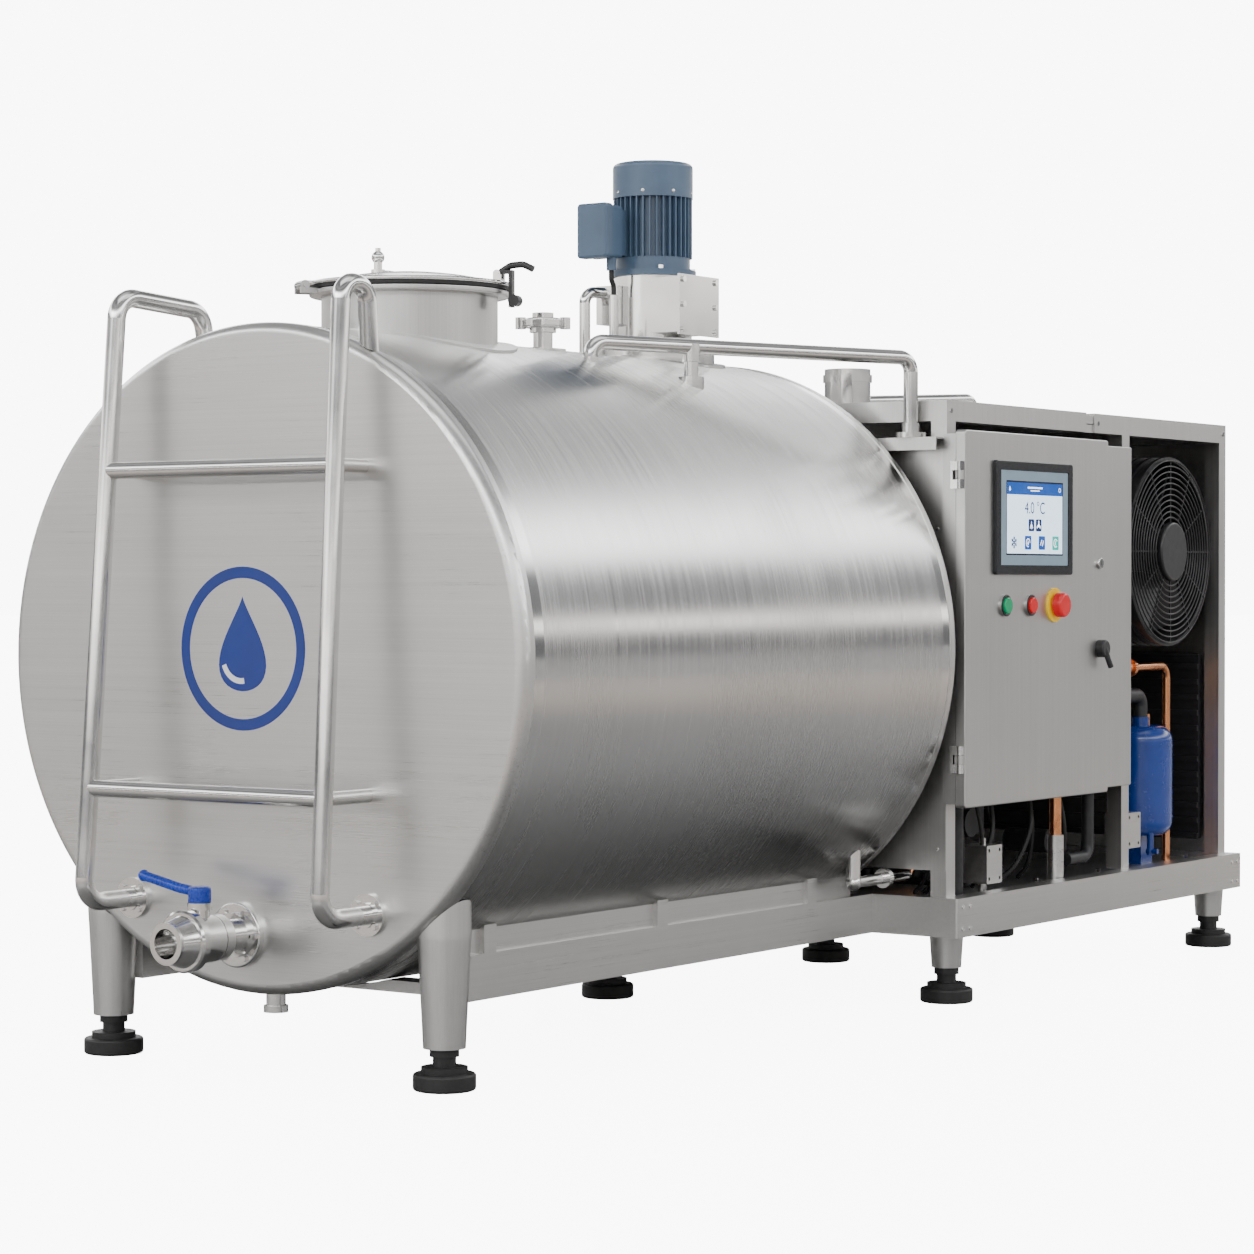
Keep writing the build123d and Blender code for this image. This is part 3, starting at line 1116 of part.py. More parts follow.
def apron(side):
    """Thin strip that closes the gap between a rail and the barrel, cut out at the cradles."""
    inner = side * (RAIL_Y - APRON_INSET - APRON_THICK)
    outer = side * (RAIL_Y - APRON_INSET)
    strip = block(LEG_X + LEG_TOP_RADIUS + 8, TANK_LENGTH - SADDLE_THICK, min(inner, outer), max(inner,
                                                                                                 outer),
                  BASE_TOP, AXIS_HEIGHT)
    strip -= on_axis(TANK_RADIUS - SHELL_STEP, 0, TANK_LENGTH)
    for x in SADDLES_X:
        strip -= block(x - SADDLE_THICK / 2, x + SADDLE_THICK / 2, -RAIL_Y, RAIL_Y, 0, AXIS_HEIGHT)
    return strip.solids()


def build_supports():
    front = [(LEG_X, side * LEG_Y) for side in (-1, 1)]
    corner = foot_places()
    feet = [levelling_foot(x, y, LEG_BOTTOM) for x, y in front + corner]
    for x, y in SPINE_FEET:
        feet.append(levelling_foot(x, y, BASE_BOTTOM))
    keep("legs", *[leg(x, y) for x, y in front], *[short_cup(x, y) for x, y in corner])
    keep("levelling_feet", *feet)
    keep("tank_rails", *tank_rails())
    keep("saddles", *saddles(), *apron(-1), *apron(1))


# ------------------------------------------------------------------ machine base and housing
def base_frame():
    """Welded ring of deep channel with two cross members."""
    skirt = block(MACHINE_START, MACHINE_END, -MACHINE_HALF, MACHINE_HALF, BASE_BOTTOM, BASE_TOP)
    skirt = fillet(skirt.edges().filter_by(Axis.Z), 6.0)
    wall = 50.0
    skirt -= block(MACHINE_START + wall, MACHINE_END - wall, -MACHINE_HALF + wall, MACHINE_HALF - wall,
                   BASE_BOTTOM - 1, BASE_TOP + 1)
    low = BASE_BOTTOM + SHEET
    high = BASE_TOP - SHEET
    core = block(MACHINE_START + SHEET, MACHINE_END - SHEET, -MACHINE_HALF + SHEET, MACHINE_HALF - SHEET,
                 low, high)
    inner = wall - SHEET
    core -= block(MACHINE_START + inner, MACHINE_END - inner, -MACHINE_HALF + inner,
                  MACHINE_HALF - inner, low, high)
    skirt -= core
    for x, _ in SPINE_FEET[1:]:
        skirt += block(x - 40, x + 40, -MACHINE_HALF + wall - 1, MACHINE_HALF - wall + 1, BASE_BOTTOM,
                       TRAY_TOP - 30)
    return skirt


def base_tray():
    edge = 51.0
    tray = block(MACHINE_START + edge, MACHINE_END - edge, -MACHINE_HALF + edge, MACHINE_HALF - edge,
                 TRAY_TOP - TRAY_THICK, TRAY_TOP)
    return tray


def housing_frame():
    posts = []
    xs = (HOUSING_START, HOUSING_END - POST)
    for x in xs:
        for side in (-1, 1):
            y0 = side * HOUSING_HALF if side < 0 else HOUSING_HALF - POST
            posts.append(box_tube(x, x + POST, y0, y0 + POST, BASE_TOP, HOUSING_TOP - BEAM_HEIGHT))
    for side in (-1, 1):
        y0 = side * HOUSING_HALF if side < 0 else HOUSING_HALF - POST
        posts.append(box_tube(MID_POST_X, MID_POST_X + POST, y0, y0 + POST, BASE_TOP,
                              HOUSING_TOP - BEAM_HEIGHT))
        beam_low = HOUSING_TOP - BEAM_HEIGHT
        posts.append(box_tube(HOUSING_START, ROOF_SPLIT_X, y0, y0 + POST, beam_low, HOUSING_TOP))
        posts.append(box_tube(ROOF_SPLIT_X + ROOF_GAP, HOUSING_END, y0, y0 + POST, beam_low, HOUSING_TOP))
        posts.append(box_tube(ROOF_SPLIT_X, ROOF_SPLIT_X + ROOF_GAP, y0 + 8, y0 + POST - 8, beam_low,
                              beam_low + 20))
    for x in (HOUSING_START, ROOF_SPLIT_X - POST, ROOF_SPLIT_X + ROOF_GAP, HOUSING_END - POST):
        posts.append(box_tube(x, x + POST, -HOUSING_HALF + POST, HOUSING_HALF - POST,
                           HOUSING_TOP - BEAM_HEIGHT, HOUSING_TOP))
    return posts


def roof_panels():
    gap = ROOF_SPLIT_X + ROOF_GAP
    front = block(HOUSING_START, ROOF_SPLIT_X, -HOUSING_HALF, HOUSING_HALF, HOUSING_TOP, HOUSING_TOP + SHEET)
    rear = block(gap, HOUSING_END, -HOUSING_HALF, HOUSING_HALF, HOUSING_TOP, HOUSING_TOP + SHEET)
    hinge = block(ROOF_SPLIT_X + 2, gap - 2, -HOUSING_HALF + 4, HOUSING_HALF - 4, HOUSING_TOP - 24,
                  HOUSING_TOP - 4)
    return front, rear, hinge


def rear_panels():
    """Back panel, end panel and the closed strip behind the narrow door."""
    low = BASE_TOP
    high = HOUSING_TOP - BEAM_HEIGHT
    back_y = HOUSING_HALF - SHEET
    back_1 = block(HOUSING_START + POST, MID_POST_X, back_y, HOUSING_HALF, low, high)
    back_2 = block(MID_POST_X + POST, HOUSING_END - POST, back_y, HOUSING_HALF, low, high)
    end = block(HOUSING_END - SHEET, HOUSING_END, -HOUSING_HALF + POST, HOUSING_HALF - POST, low, high)
    return back_1, back_2, end


def front_cover():
    """Tank-side cover: a low panel, a ledge for the wash pipe and an upper panel set back."""
    low = BASE_TOP + 62.0
    wide = HOUSING_HALF
    edge = MACHINE_START - LEDGE_REACH
    lower = block(HOUSING_START - SHEET, HOUSING_START, -wide, wide, low, LEDGE_HEIGHT)
    ledge = block(edge, HOUSING_START, -wide, wide, LEDGE_HEIGHT - SHEET, LEDGE_HEIGHT)
    lip = block(edge, edge + SHEET, -wide, wide, LEDGE_HEIGHT - LEDGE_LIP, LEDGE_HEIGHT)
    cover = lower + ledge + lip
    return cover - on_axis(TANK_RADIUS + 2, 0, TANK_LENGTH)


def cabinet_body():
    x0 = CABINET_X + CABINET_FRAME_INSET
    x1 = CABINET_END - CABINET_EDGE
    z0 = CABINET_BASE + CABINET_EDGE
    z1 = CABINET_BASE + CABINET_HEIGHT - CABINET_EDGE
    front = DOOR_FACE_Y + DOOR_THICK + DOOR_GAP
    back = front + CABINET_DEPTH
    box = block(x0, x1, front, back, z0, z1)
    flange = block(CABINET_X + 4, x1 + 4, front, -HOUSING_HALF, z0 - 4, z1 + 4)
    inside = block(x0 + SHEET, x1 - SHEET, front - 1, back - SHEET, z0 + SHEET, z1 - SHEET)
    return (box + flange) - inside


def hinge_barrels(x, y, heights, fixed, reach):
    """Three-knuckle hinge; the fixed leaf has the outer knuckles and the pin."""
    pieces = None
    third = HINGE_KNUCKLE / 3 * 2
    for z in heights:
        if fixed:
            parts = rod("Z", (x, y), HINGE_PIN_RADIUS, z - third * 1.5, z + third * 1.5)
            for offset in (-1, 1):
                low = z + offset * third - third / 2 + CONTACT_GAP
                high = z + offset * third + third / 2 - CONTACT_GAP
                parts += rod("Z", (x, y), HINGE_RADIUS, low, high)
                leaf = block(x - 2, x + reach[0], y, y + reach[1], low, high)
                parts += leaf - rod("Z", (x, y), HINGE_RADIUS, low, high)
        else:
            low = z - third / 2 + CONTACT_GAP
            high = z + third / 2 - CONTACT_GAP
            parts = rod("Z", (x, y), HINGE_RADIUS, low, high)
            parts += block(x, x + reach[0], y - 4, y + 4, low, high)
            parts -= rod("Z", (x, y), HINGE_PIN_RADIUS + SHAFT_CLEARANCE, low - 1, high + 1)
        pieces = parts if pieces is None else pieces + parts
    return pieces


def door_hinges():
    """Fixed halves of both doors' hinges."""
    leaf_y = DOOR_FACE_Y + DOOR_THICK + DOOR_GAP - DOOR_AXIS_Y + 6
    main = hinge_barrels(DOOR_AXIS_X, DOOR_AXIS_Y, DOOR_HINGE_HEIGHTS, True, (2.0, leaf_y))
    for z in DOOR_HINGE_HEIGHTS:
        main += block(DOOR_AXIS_X - 2, CABINET_X + 30, DOOR_AXIS_Y + leaf_y - 5, DOOR_AXIS_Y + leaf_y,
                      z - HINGE_KNUCKLE, z + HINGE_KNUCKLE)
    main -= cabinet_body()
    leaf_y = -HOUSING_HALF - SIDE_AXIS_Y
    side = hinge_barrels(SIDE_AXIS_X, SIDE_AXIS_Y, SIDE_HINGE_HEIGHTS, True, (2.0, leaf_y))
    return main.solids() + side.solids()


def cabinet_door():
    x1 = CABINET_END
    z1 = CABINET_BASE + CABINET_HEIGHT
    back = DOOR_FACE_Y + DOOR_THICK
    door = block(CABINET_X, x1, DOOR_FACE_Y, back, CABINET_BASE, z1)
    door = fillet(door.edges().filter_by(Axis.Y), DOOR_CORNER)
    door = fillet(door.faces().sort_by(Axis.Y)[0].edges(), DOOR_EDGE_ROUND)
    door -= block(CABINET_X + DOOR_SKIN, x1 - DOOR_SKIN, DOOR_FACE_Y + DOOR_SKIN, back + 1,
                  CABINET_BASE + DOOR_SKIN, z1 - DOOR_SKIN)
    half_w = SCREEN_WIDTH / 2 - CUT_OUT_INSET
    half_h = SCREEN_HEIGHT / 2 - CUT_OUT_INSET
    door -= block(SCREEN_X - half_w, SCREEN_X + half_w, DOOR_FACE_Y - 1, back, SCREEN_Z - half_h,
                  SCREEN_Z + half_h)
    for x in BUTTON_XS:
        door += ring("Y", (x, BUTTON_ROW_Z), BUTTON_RING, BUTTON_RADIUS + CONTACT_GAP,
                     DOOR_FACE_Y - 6, DOOR_FACE_Y + COLLAR_BACK)
        door -= rod("Y", (x, BUTTON_ROW_Z), BUTTON_RADIUS + CONTACT_GAP, DOOR_FACE_Y - 10,
                    DOOR_FACE_Y + SOCKET_DEPTH)
    stem = STOP_STEM_RADIUS + CONTACT_GAP
    stop_at = (STOP_X, BUTTON_ROW_Z)
    door += ring("Y", stop_at, BUTTON_RING, stem, DOOR_FACE_Y, DOOR_FACE_Y + COLLAR_BACK)
    door -= rod("Y", stop_at, stem, DOOR_FACE_Y - 10, DOOR_FACE_Y + SOCKET_DEPTH)
    for z in (DOOR_LATCH_Z, CAM_LOCK_Z):
        door -= rod("Y", (LATCH_X, z), LATCH_BARREL + SHAFT_CLEARANCE, DOOR_FACE_Y - 10, DOOR_FACE_Y + 20)
    door += hinge_barrels(DOOR_AXIS_X, DOOR_AXIS_Y, DOOR_HINGE_HEIGHTS, False, (DOOR_HINGE_OUT + 2, 0))
    return door


def screen_unit():
    """Touch-panel case: bezel over the cut-out and a body through it."""
    half_w = SCREEN_WIDTH / 2
    half_h = SCREEN_HEIGHT / 2
    bezel = block(SCREEN_X - half_w, SCREEN_X + half_w, DOOR_FACE_Y - SCREEN_PROUD, DOOR_FACE_Y,
                  SCREEN_Z - half_h, SCREEN_Z + half_h)
    bezel = fillet(bezel.edges().filter_by(Axis.Y), 8.0)
    bezel = fillet(bezel.faces().sort_by(Axis.Y)[0].edges(), 2.5)
    glass_w = half_w - BEZEL_WIDTH
    glass_h = half_h - BEZEL_HEIGHT
    bezel -= block(SCREEN_X - glass_w, SCREEN_X + glass_w, DOOR_FACE_Y - SCREEN_PROUD - 1,
                   DOOR_FACE_Y - SCREEN_PROUD + 2, SCREEN_Z - glass_h, SCREEN_Z + glass_h)
    body_w = half_w - SCREEN_BODY_INSET
    body_h = half_h - SCREEN_BODY_INSET
    body = block(SCREEN_X - body_w, SCREEN_X + body_w, DOOR_FACE_Y - 2, DOOR_FACE_Y + SCREEN_DEPTH,
                 SCREEN_Z - body_h, SCREEN_Z + body_h)
    return bezel + body


def push_button(x):
    back = DOOR_FACE_Y + SOCKET_DEPTH - BUTTON_TRAVEL - CONTACT_GAP
    cap = rod("Y", (x, BUTTON_ROW_Z), BUTTON_RADIUS, DOOR_FACE_Y - 14, back)
    return fillet(cap.edges().filter_by(GeomType.CIRCLE).sort_by(Axis.Y)[0], 3.0)


def stop_ring():
    ring_plate = ring("Y", (STOP_X, BUTTON_ROW_Z), STOP_RING, STOP_STEM_RADIUS + CONTACT_GAP,
                      DOOR_FACE_Y - RING_THICK, DOOR_FACE_Y)
    return fillet(ring_plate.edges().filter_by(GeomType.CIRCLE).sort_by(SortBy.RADIUS)[-2], 1.5)


def emergency_stop():
    z = BUTTON_ROW_Z
    front = DOOR_FACE_Y - STOP_HEAD
    head_back = DOOR_FACE_Y - RING_THICK - STOP_TRAVEL - CONTACT_GAP
    mushroom = rod("Y", (STOP_X, z), STOP_RADIUS, front, head_back)
    mushroom = fillet(mushroom.edges().filter_by(GeomType.CIRCLE).sort_by(Axis.Y)[0], 8.0)
    stem_end = DOOR_FACE_Y + SOCKET_DEPTH - STOP_TRAVEL - CONTACT_GAP
    stem = rod("Y", (STOP_X, z), STOP_STEM_RADIUS, head_back - 1, stem_end)
    return mushroom + stem


def door_latch():
    """Round black boss with a short hanging lever and a cam behind the skin."""
    centre = (LATCH_X, DOOR_LATCH_Z)
    front = DOOR_FACE_Y - LATCH_BOSS_DEPTH
    boss = rod("Y", centre, LATCH_BOSS_RADIUS, front, DOOR_FACE_Y - CONTACT_GAP)
    boss = fillet(boss.edges().filter_by(GeomType.CIRCLE).sort_by(Axis.Y)[0], 5.0)
    lever = bent_rod([(LATCH_X, front + 6, DOOR_LATCH_Z), (LATCH_X + 6, front, DOOR_LATCH_Z - 26),
                      (LATCH_X + 16, front - 3, DOOR_LATCH_Z - 46)], LATCH_LEVER_RADIUS, 16.0)
    barrel = rod("Y", centre, LATCH_BARREL, DOOR_FACE_Y - 1, DOOR_FACE_Y + CAM_END)
    cam = block(LATCH_X - 8, LATCH_X + 8, DOOR_FACE_Y + CAM_START, DOOR_FACE_Y + CAM_END,
                DOOR_LATCH_Z - 8, DOOR_LATCH_Z + 30)
    return boss + lever + barrel + cam


def cam_lock():
    centre = (LATCH_X, CAM_LOCK_Z)
    face = rod("Y", centre, CAM_FACE_RADIUS, DOOR_FACE_Y - 7, DOOR_FACE_Y - CONTACT_GAP)
    face = fillet(face.edges().filter_by(GeomType.CIRCLE).sort_by(Axis.Y)[0], 2.5)
    slot = block(LATCH_X - 1.5, LATCH_X + 1.5, DOOR_FACE_Y - 8, DOOR_FACE_Y - 4, CAM_LOCK_Z - 6,
                 CAM_LOCK_Z + 6)
    barrel = rod("Y", centre, LATCH_BARREL, DOOR_FACE_Y - 1, DOOR_FACE_Y + CAM_END)
    cam = block(LATCH_X - 7, LATCH_X + 7, DOOR_FACE_Y + CAM_START, DOOR_FACE_Y + CAM_END,
                CAM_LOCK_Z - 7, CAM_LOCK_Z + 28)
    return (face + barrel + cam) - slot


def side_door():
    x1 = SIDE_DOOR_X + SIDE_DOOR_WIDTH
    z1 = SIDE_DOOR_BASE + SIDE_DOOR_HEIGHT
    door = block(SIDE_DOOR_X, x1, SIDE_DOOR_Y, SIDE_DOOR_Y + SIDE_DOOR_THICK, SIDE_DOOR_BASE, z1)
    door = fillet(door.edges().filter_by(Axis.Y), 5.0)
    door = fillet(door.faces().sort_by(Axis.Y)[0].edges(), 2.0)
    door -= block(SIDE_DOOR_X + DOOR_SKIN, x1 - DOOR_SKIN, SIDE_DOOR_Y + DOOR_SKIN,
                  SIDE_DOOR_Y + SIDE_DOOR_THICK + 1, SIDE_DOOR_BASE + DOOR_SKIN, z1 - DOOR_SKIN)
    return door + hinge_barrels(SIDE_AXIS_X, SIDE_AXIS_Y, SIDE_HINGE_HEIGHTS, False, (DOOR_HINGE_OUT + 2, 0))


def cabinet_electrics():
    """Back plate with a row of switchgear and terminals."""
    x0 = CABINET_X + CABINET_FRAME_INSET + 40
    x1 = CABINET_END - 52
    back = DOOR_FACE_Y + DOOR_THICK + DOOR_GAP + CABINET_DEPTH - SHEET
    z0 = CABINET_BASE + 60
    z1 = CABINET_BASE + CABINET_HEIGHT - 60
    plate = block(x0, x1, back - 4, back, z0, z1)
    width = (x1 - x0 - 60) / SWITCH_COUNT
    for row, (height, depth) in enumerate(SWITCH_ROWS):
        z = z0 + 120 + row * SWITCH_PITCH
        plate += block(x0 + 20, x1 - 20, back - 12, back - 3, z - 17, z + 17)
        for index in range(SWITCH_COUNT):
            left = x0 + 30 + index * width
            plate += block(left, left + width * 0.8, back - depth, back - 10, z - height / 2, z + height / 2)
    return plate


def build_housing():
    keep("base_frame", base_frame(), base_tray())
    keep("housing_frame", *housing_frame())
    keep("housing_panels", *roof_panels(), *rear_panels())
    keep("front_cover", front_cover())
    keep("cabinet_body", cabinet_body())
    keep("cabinet_electrics", cabinet_electrics())
    keep("door_hinges", *door_hinges())
    keep("cabinet_door", cabinet_door())
    keep("screen_unit", screen_unit())
    keep("start_button", push_button(BUTTON_XS[0]))
    keep("stop_button", push_button(BUTTON_XS[1]))
    keep("stop_ring", stop_ring())
    keep("emergency_stop", emergency_stop())
    keep("door_latch", door_latch())
    keep("cam_lock", cam_lock())
    keep("side_door", side_door())


# ------------------------------------------------------------------ condenser and fan
def fan_guard():
    """Wire rings on flat radial bars round a pressed hub cap."""
    centre = (FAN_X, FAN_Z)
    cap = rod("Y", centre, GUARD_HUB, GUARD_Y - GUARD_CAP, GUARD_Y + GUARD_WIRE)
    cap = fillet(cap.edges().sort_by(Axis.Y)[0], GUARD_CAP / 2)
    step = (GUARD_RADIUS - GUARD_HUB) / GUARD_RINGS
    wires = []
    for index in range(GUARD_RINGS):
        radius = GUARD_HUB + step * (index + 1) - GUARD_WIRE
        wires.append(Pos(FAN_X, GUARD_Y, FAN_Z) * Rot(90, 0, 0) * Torus(radius, GUARD_WIRE))
    reach = GUARD_RADIUS - GUARD_WIRE
    for index in range(GUARD_SPOKES):
        bar = block(GUARD_HUB - GUARD_CAP, reach, GUARD_Y, GUARD_Y + GUARD_BAR, -GUARD_BAR / 2, GUARD_BAR / 2)
        wires.append(Pos(FAN_X, 0, FAN_Z) * Rot(0, index * 360 / GUARD_SPOKES, 0) * bar)
    return cap.fuse(*wires)


def fan_shroud():
    centre = (FAN_X, FAN_Z)
    start = GUARD_Y + GUARD_WIRE * 2 + 1
    end = start + SHROUD_DEPTH
    duct = ring("Y", centre, SHROUD_RADIUS - SHROUD_STEP, SHROUD_RADIUS - SHROUD_STEP - SHROUD_WALL,
                start, end)
    for index in range(SHROUD_RIBS):
        y = start + index * SHROUD_DEPTH / SHROUD_RIBS
        duct += ring("Y", centre, SHROUD_RADIUS, SHROUD_RADIUS - RIB_DEPTH, y, y + RIB_WIDTH)
    plate_half = SHROUD_RADIUS + 2
    plate = block(FAN_X - plate_half, FAN_X + plate_half, end - 4, end, FAN_Z - plate_half,
                  FAN_Z + plate_half)
    plate -= rod("Y", centre, SHROUD_RADIUS - 9, end - 10, end + 10)
    motor = ring("Y", centre, FAN_MOTOR_RADIUS, FAN_SHAFT_RADIUS + SHAFT_CLEARANCE,
                 start + FAN_MOTOR_START, end - 20)
    for angle in (45, 135, 225, 315):
        arm = rod("X", (end - 30, 0), FAN_ARM_RADIUS, FAN_MOTOR_RADIUS - 4, SHROUD_RADIUS - 9)
        motor += Pos(FAN_X, 0, FAN_Z) * Rot(0, angle, 0) * arm
    return duct + plate + motor


def condenser_fan():
    centre = (FAN_X, FAN_Z)
    start = GUARD_Y + FAN_SETBACK
    hub = rod("Y", centre, FAN_HUB_RADIUS, start, start + FAN_HUB_LENGTH)
    for index in range(FAN_BLADES):
        blade = block(FAN_HUB_RADIUS - 8, FAN_BLADE_RADIUS, -FAN_BLADE_THICK / 2, FAN_BLADE_THICK / 2,
                      -FAN_BLADE_WIDTH / 2, FAN_BLADE_WIDTH / 2)
        tilted = Rot(FAN_BLADE_TILT_DEG, 0, 0) * blade
        placed = Pos(FAN_X, start + FAN_HUB_LENGTH / 2, FAN_Z) * Rot(0, index * 360 / FAN_BLADES, 0) * tilted
        hub += placed & rod("Y", centre, FAN_BLADE_RADIUS, start - 40, start + 100)
    return hub + rod("Y", centre, FAN_SHAFT_RADIUS, start + FAN_HUB_LENGTH - 1, start + 190)


def condenser_coil():
    start = GUARD_Y + GUARD_WIRE * 2 + 1 + SHROUD_DEPTH + 2
    half = SHROUD_RADIUS - 4
    x0 = FAN_X - half
    x1 = FAN_X + half
    z0 = FAN_Z - half
    z1 = FAN_Z + half
    core = block(x0, x1, start + COIL_CORE_INSET, start + COIL_DEPTH - COIL_CORE_INSET, z0, z1)
    pitch = (z1 - z0) / COIL_FINS
    for index in range(COIL_FINS):
        z = z0 + index * pitch
        core += block(x0, x1, start, start + COIL_DEPTH, z, z + pitch * 0.4)
    wall_x = HOUSING_END - POST - SIDE_COIL_THICK
    wide = HOUSING_HALF - SIDE_COIL_INSET
    low = TRAY_TOP + SIDE_COIL_INSET
    high = FAN_Z - SHROUD_RADIUS - SIDE_COIL_INSET / 2
    side = block(wall_x + 8, wall_x + SIDE_COIL_THICK, -wide, wide, low, high)
    step = (high - low) / SIDE_COIL_SLATS
    for index in range(SIDE_COIL_SLATS):
        z = low + index * step
        side += block(wall_x, wall_x + SLAT_DEPTH, -wide, wide, z, z + step * 0.35)
    return core, side


# ------------------------------------------------------------------ refrigeration
def receiver():
    centre = (RECEIVER_X, RECEIVER_Y)
    low = RECEIVER_BASE
    tank = rod("Z", centre, RECEIVER_RADIUS, low, RECEIVER_TOP)
    tank = fillet(tank.edges().filter_by(GeomType.CIRCLE), RECEIVER_RADIUS * 0.48)
    tank += rod("Z", centre, 24.0, RECEIVER_TOP - 4, RECEIVER_TOP + 22)
    tank += ring("Z", centre, RECEIVER_RADIUS + 1.5, RECEIVER_RADIUS - 2, RECEIVER_TOP - 56,
                 RECEIVER_TOP - 51)
    tank += ring("Z", centre, RECEIVER_RADIUS + 1.5, RECEIVER_RADIUS - 2, low + 50, low + 55)
    foot = block(RECEIVER_X - 34, RECEIVER_X + 34, RECEIVER_Y - 20, RECEIVER_Y + 60, TRAY_TOP, low + 6)
    drain = rod("Z", (RECEIVER_X - 40, RECEIVER_Y - 50), 9.0, TRAY_TOP + 26, low + 34)
    drain += rod("Y", (RECEIVER_X - 40, TRAY_TOP + 36), 7.0, RECEIVER_Y - 72, RECEIVER_Y - 40)
    return tank + foot + drain


def compressor():
    x, y = COMPRESSOR_AT
    low = TRAY_TOP
    body = rod("Z", COMPRESSOR_AT, COMPRESSOR_RADIUS, low + 26, low + COMPRESSOR_HEIGHT)
    body = fillet(body.edges().filter_by(GeomType.CIRCLE), COMPRESSOR_CORNER)
    body += rod("Z", COMPRESSOR_AT, COMPRESSOR_RADIUS + 4, low + 190, low + 200)
    plate_x, plate_y = COMPRESSOR_PLATE
    body += block(x - plate_x, x + plate_x, y - plate_y, y + plate_y, low, low + 10)
    mount_x, mount_y = COMPRESSOR_MOUNTS
    for dx in (-mount_x, mount_x):
        for dy in (-mount_y, mount_y):
            body += rod("Z", (x + dx, y + dy), MOUNT_PAD_RADIUS, low + 9, low + 30)
    body += rod("Z", COMPRESSOR_AT, COMPRESSOR_RADIUS * 0.8, low + 5, low + 40)
    body += block(x - 60, x + 60, y - COMPRESSOR_RADIUS - 46, y - COMPRESSOR_RADIUS + 20, low + 120,
                  low + 230)
    return body


def copper_pipes():
    y = RECEIVER_Y - SUCTION_RADIUS
    right = RECEIVER_X + 118.0
    riser = [(RECEIVER_X - 90, y, PIPE_TOP), (right, y, PIPE_TOP), (right, y, TRAY_TOP)]
    line_1 = bent_rod(riser, PIPE_RADIUS, 34.0)
    line_2 = rod("Z", UPRIGHT_AT, UPRIGHT_RADIUS, SLEEVE_TOP, HOSE_UNDER)
    low = TRAY_TOP + 30
    x = CABINET_END - 571.0
    back = COMPRESSOR_AT[1] - 80.0
    run = [(x, back, low), (x + 180, back, low), (x + 180, back, HOSE_UNDER - 4)]
    line_3 = bent_rod(run, THIN_PIPE_RADIUS, 20.0)
    x = MID_POST_X + 78.0
    y = RECEIVER_Y + 30.0
    gauge = [(x, y, PIPE_TOP - 72), (x, y, PIPE_TOP + 38), (x + 70, y, PIPE_TOP + 38)]
    line_4 = bent_rod(gauge, GAUGE_PIPE_RADIUS, 18.0)
    return line_1, line_2, line_3, line_4


def suction_hose():
    """From the top of the receiver back into the housing."""
    x = RECEIVER_X
    y = RECEIVER_Y
    return bent_rod([(x, y, RECEIVER_TOP + 22), (x, y, SUCTION_HEIGHT), (x - 200, y, SUCTION_HEIGHT),
                     (x - 260, y + 120, SUCTION_HEIGHT)], SUCTION_RADIUS, 30.0)


def black_hoses():
    low = TRAY_TOP
    hoses = [suction_hose()]
    for along, y, radius in UPRIGHT_HOSES:
        hoses.append(rod("Z", (MACHINE_START + along, y), radius, low, HOSE_UNDER))
    x = LOW_HOSE_X
    hoses.append(bent_rod([(x, -480.0, HOSE_UNDER), (x, -480.0, low + 20), (x + 255, -470.0, low + 20),
                           (x + 415, -420.0, low + 20)], LOW_HOSE_RADIUS, HOSE_BEND))
    x = SIDE_DOOR_X - 34.0
    hoses.append(bent_rod([(x, -560.0, low + 50), (x + 120, -560.0, low + 50), (x + 120, -560.0, low + 262),
                           (x + 120, -470.0, low + 362)], 16.0, HOSE_BEND + 2))
    x = CABINET_END - 301.0
    hoses.append(bent_rod([(x, -440.0, HOSE_UNDER), (x, -440.0, low + 162), (x + 80, -420.0, low + 162)],
                          12.0, HOSE_BEND - 4))
    for along, z, radius, start, end in MUFFLERS:
        hoses.append(rod("Y", (CABINET_END + along, z), radius, start, end))
    return hoses


def solenoid_block(x, y, z):
    """A pale block with four mounting holes, a stem on top and a pipe down to the tray."""
    half_x, half_y, half_z = SOLENOID_HALF
    body = block(x - half_x, x + half_x, y, y + 2 * half_y, z - half_z, z + half_z)
    body = fillet(body.edges().filter_by(Axis.Y), 4.0)
    hole_x, hole_z, hole_radius = SOLENOID_HOLES
    for dx in (-hole_x, hole_x):
        for dz in (-hole_z, hole_z):
            body -= rod("Y", (x + dx, z + dz), hole_radius, y - 1, y + 20)
    body += rod("Z", (x, y + half_y), 8.0, z + half_z - 1, z + half_z + 16)
    return body + rod("Z", (x, y + half_y), 10.0, TRAY_TOP, z - half_z + 1)


def valve_blocks():
    """Two solenoid blocks and a small junction box under the roof."""
    near = solenoid_block(MACHINE_START + 290.0, -590.0, TRAY_TOP + 70)
    far = solenoid_block(MID_POST_X + 98.0, -598.0, TRAY_TOP + 106)
    x = MID_POST_X + 88.0
    z = HOUSING_TOP - 135.0
    return near, far, block(x, x + 90, -540.0, -480.0, z, z + 55)


def brass_valves():
    y = RECEIVER_Y - 20.0
    x = RECEIVER_X - 90.0
    body = rod("X", (y, PIPE_TOP), 18.0, x - 70, x)
    body += rod("X", (y, PIPE_TOP), 24.0, x - 22, x - 8)
    body += rod("Z", (x - 42, y), 10.0, PIPE_TOP, PIPE_TOP + 38)
    small = rod("Z", (RECEIVER_X + 42, RECEIVER_Y), 8.0, RECEIVER_TOP - 16, RECEIVER_TOP + 28) - receiver()
    return body, small


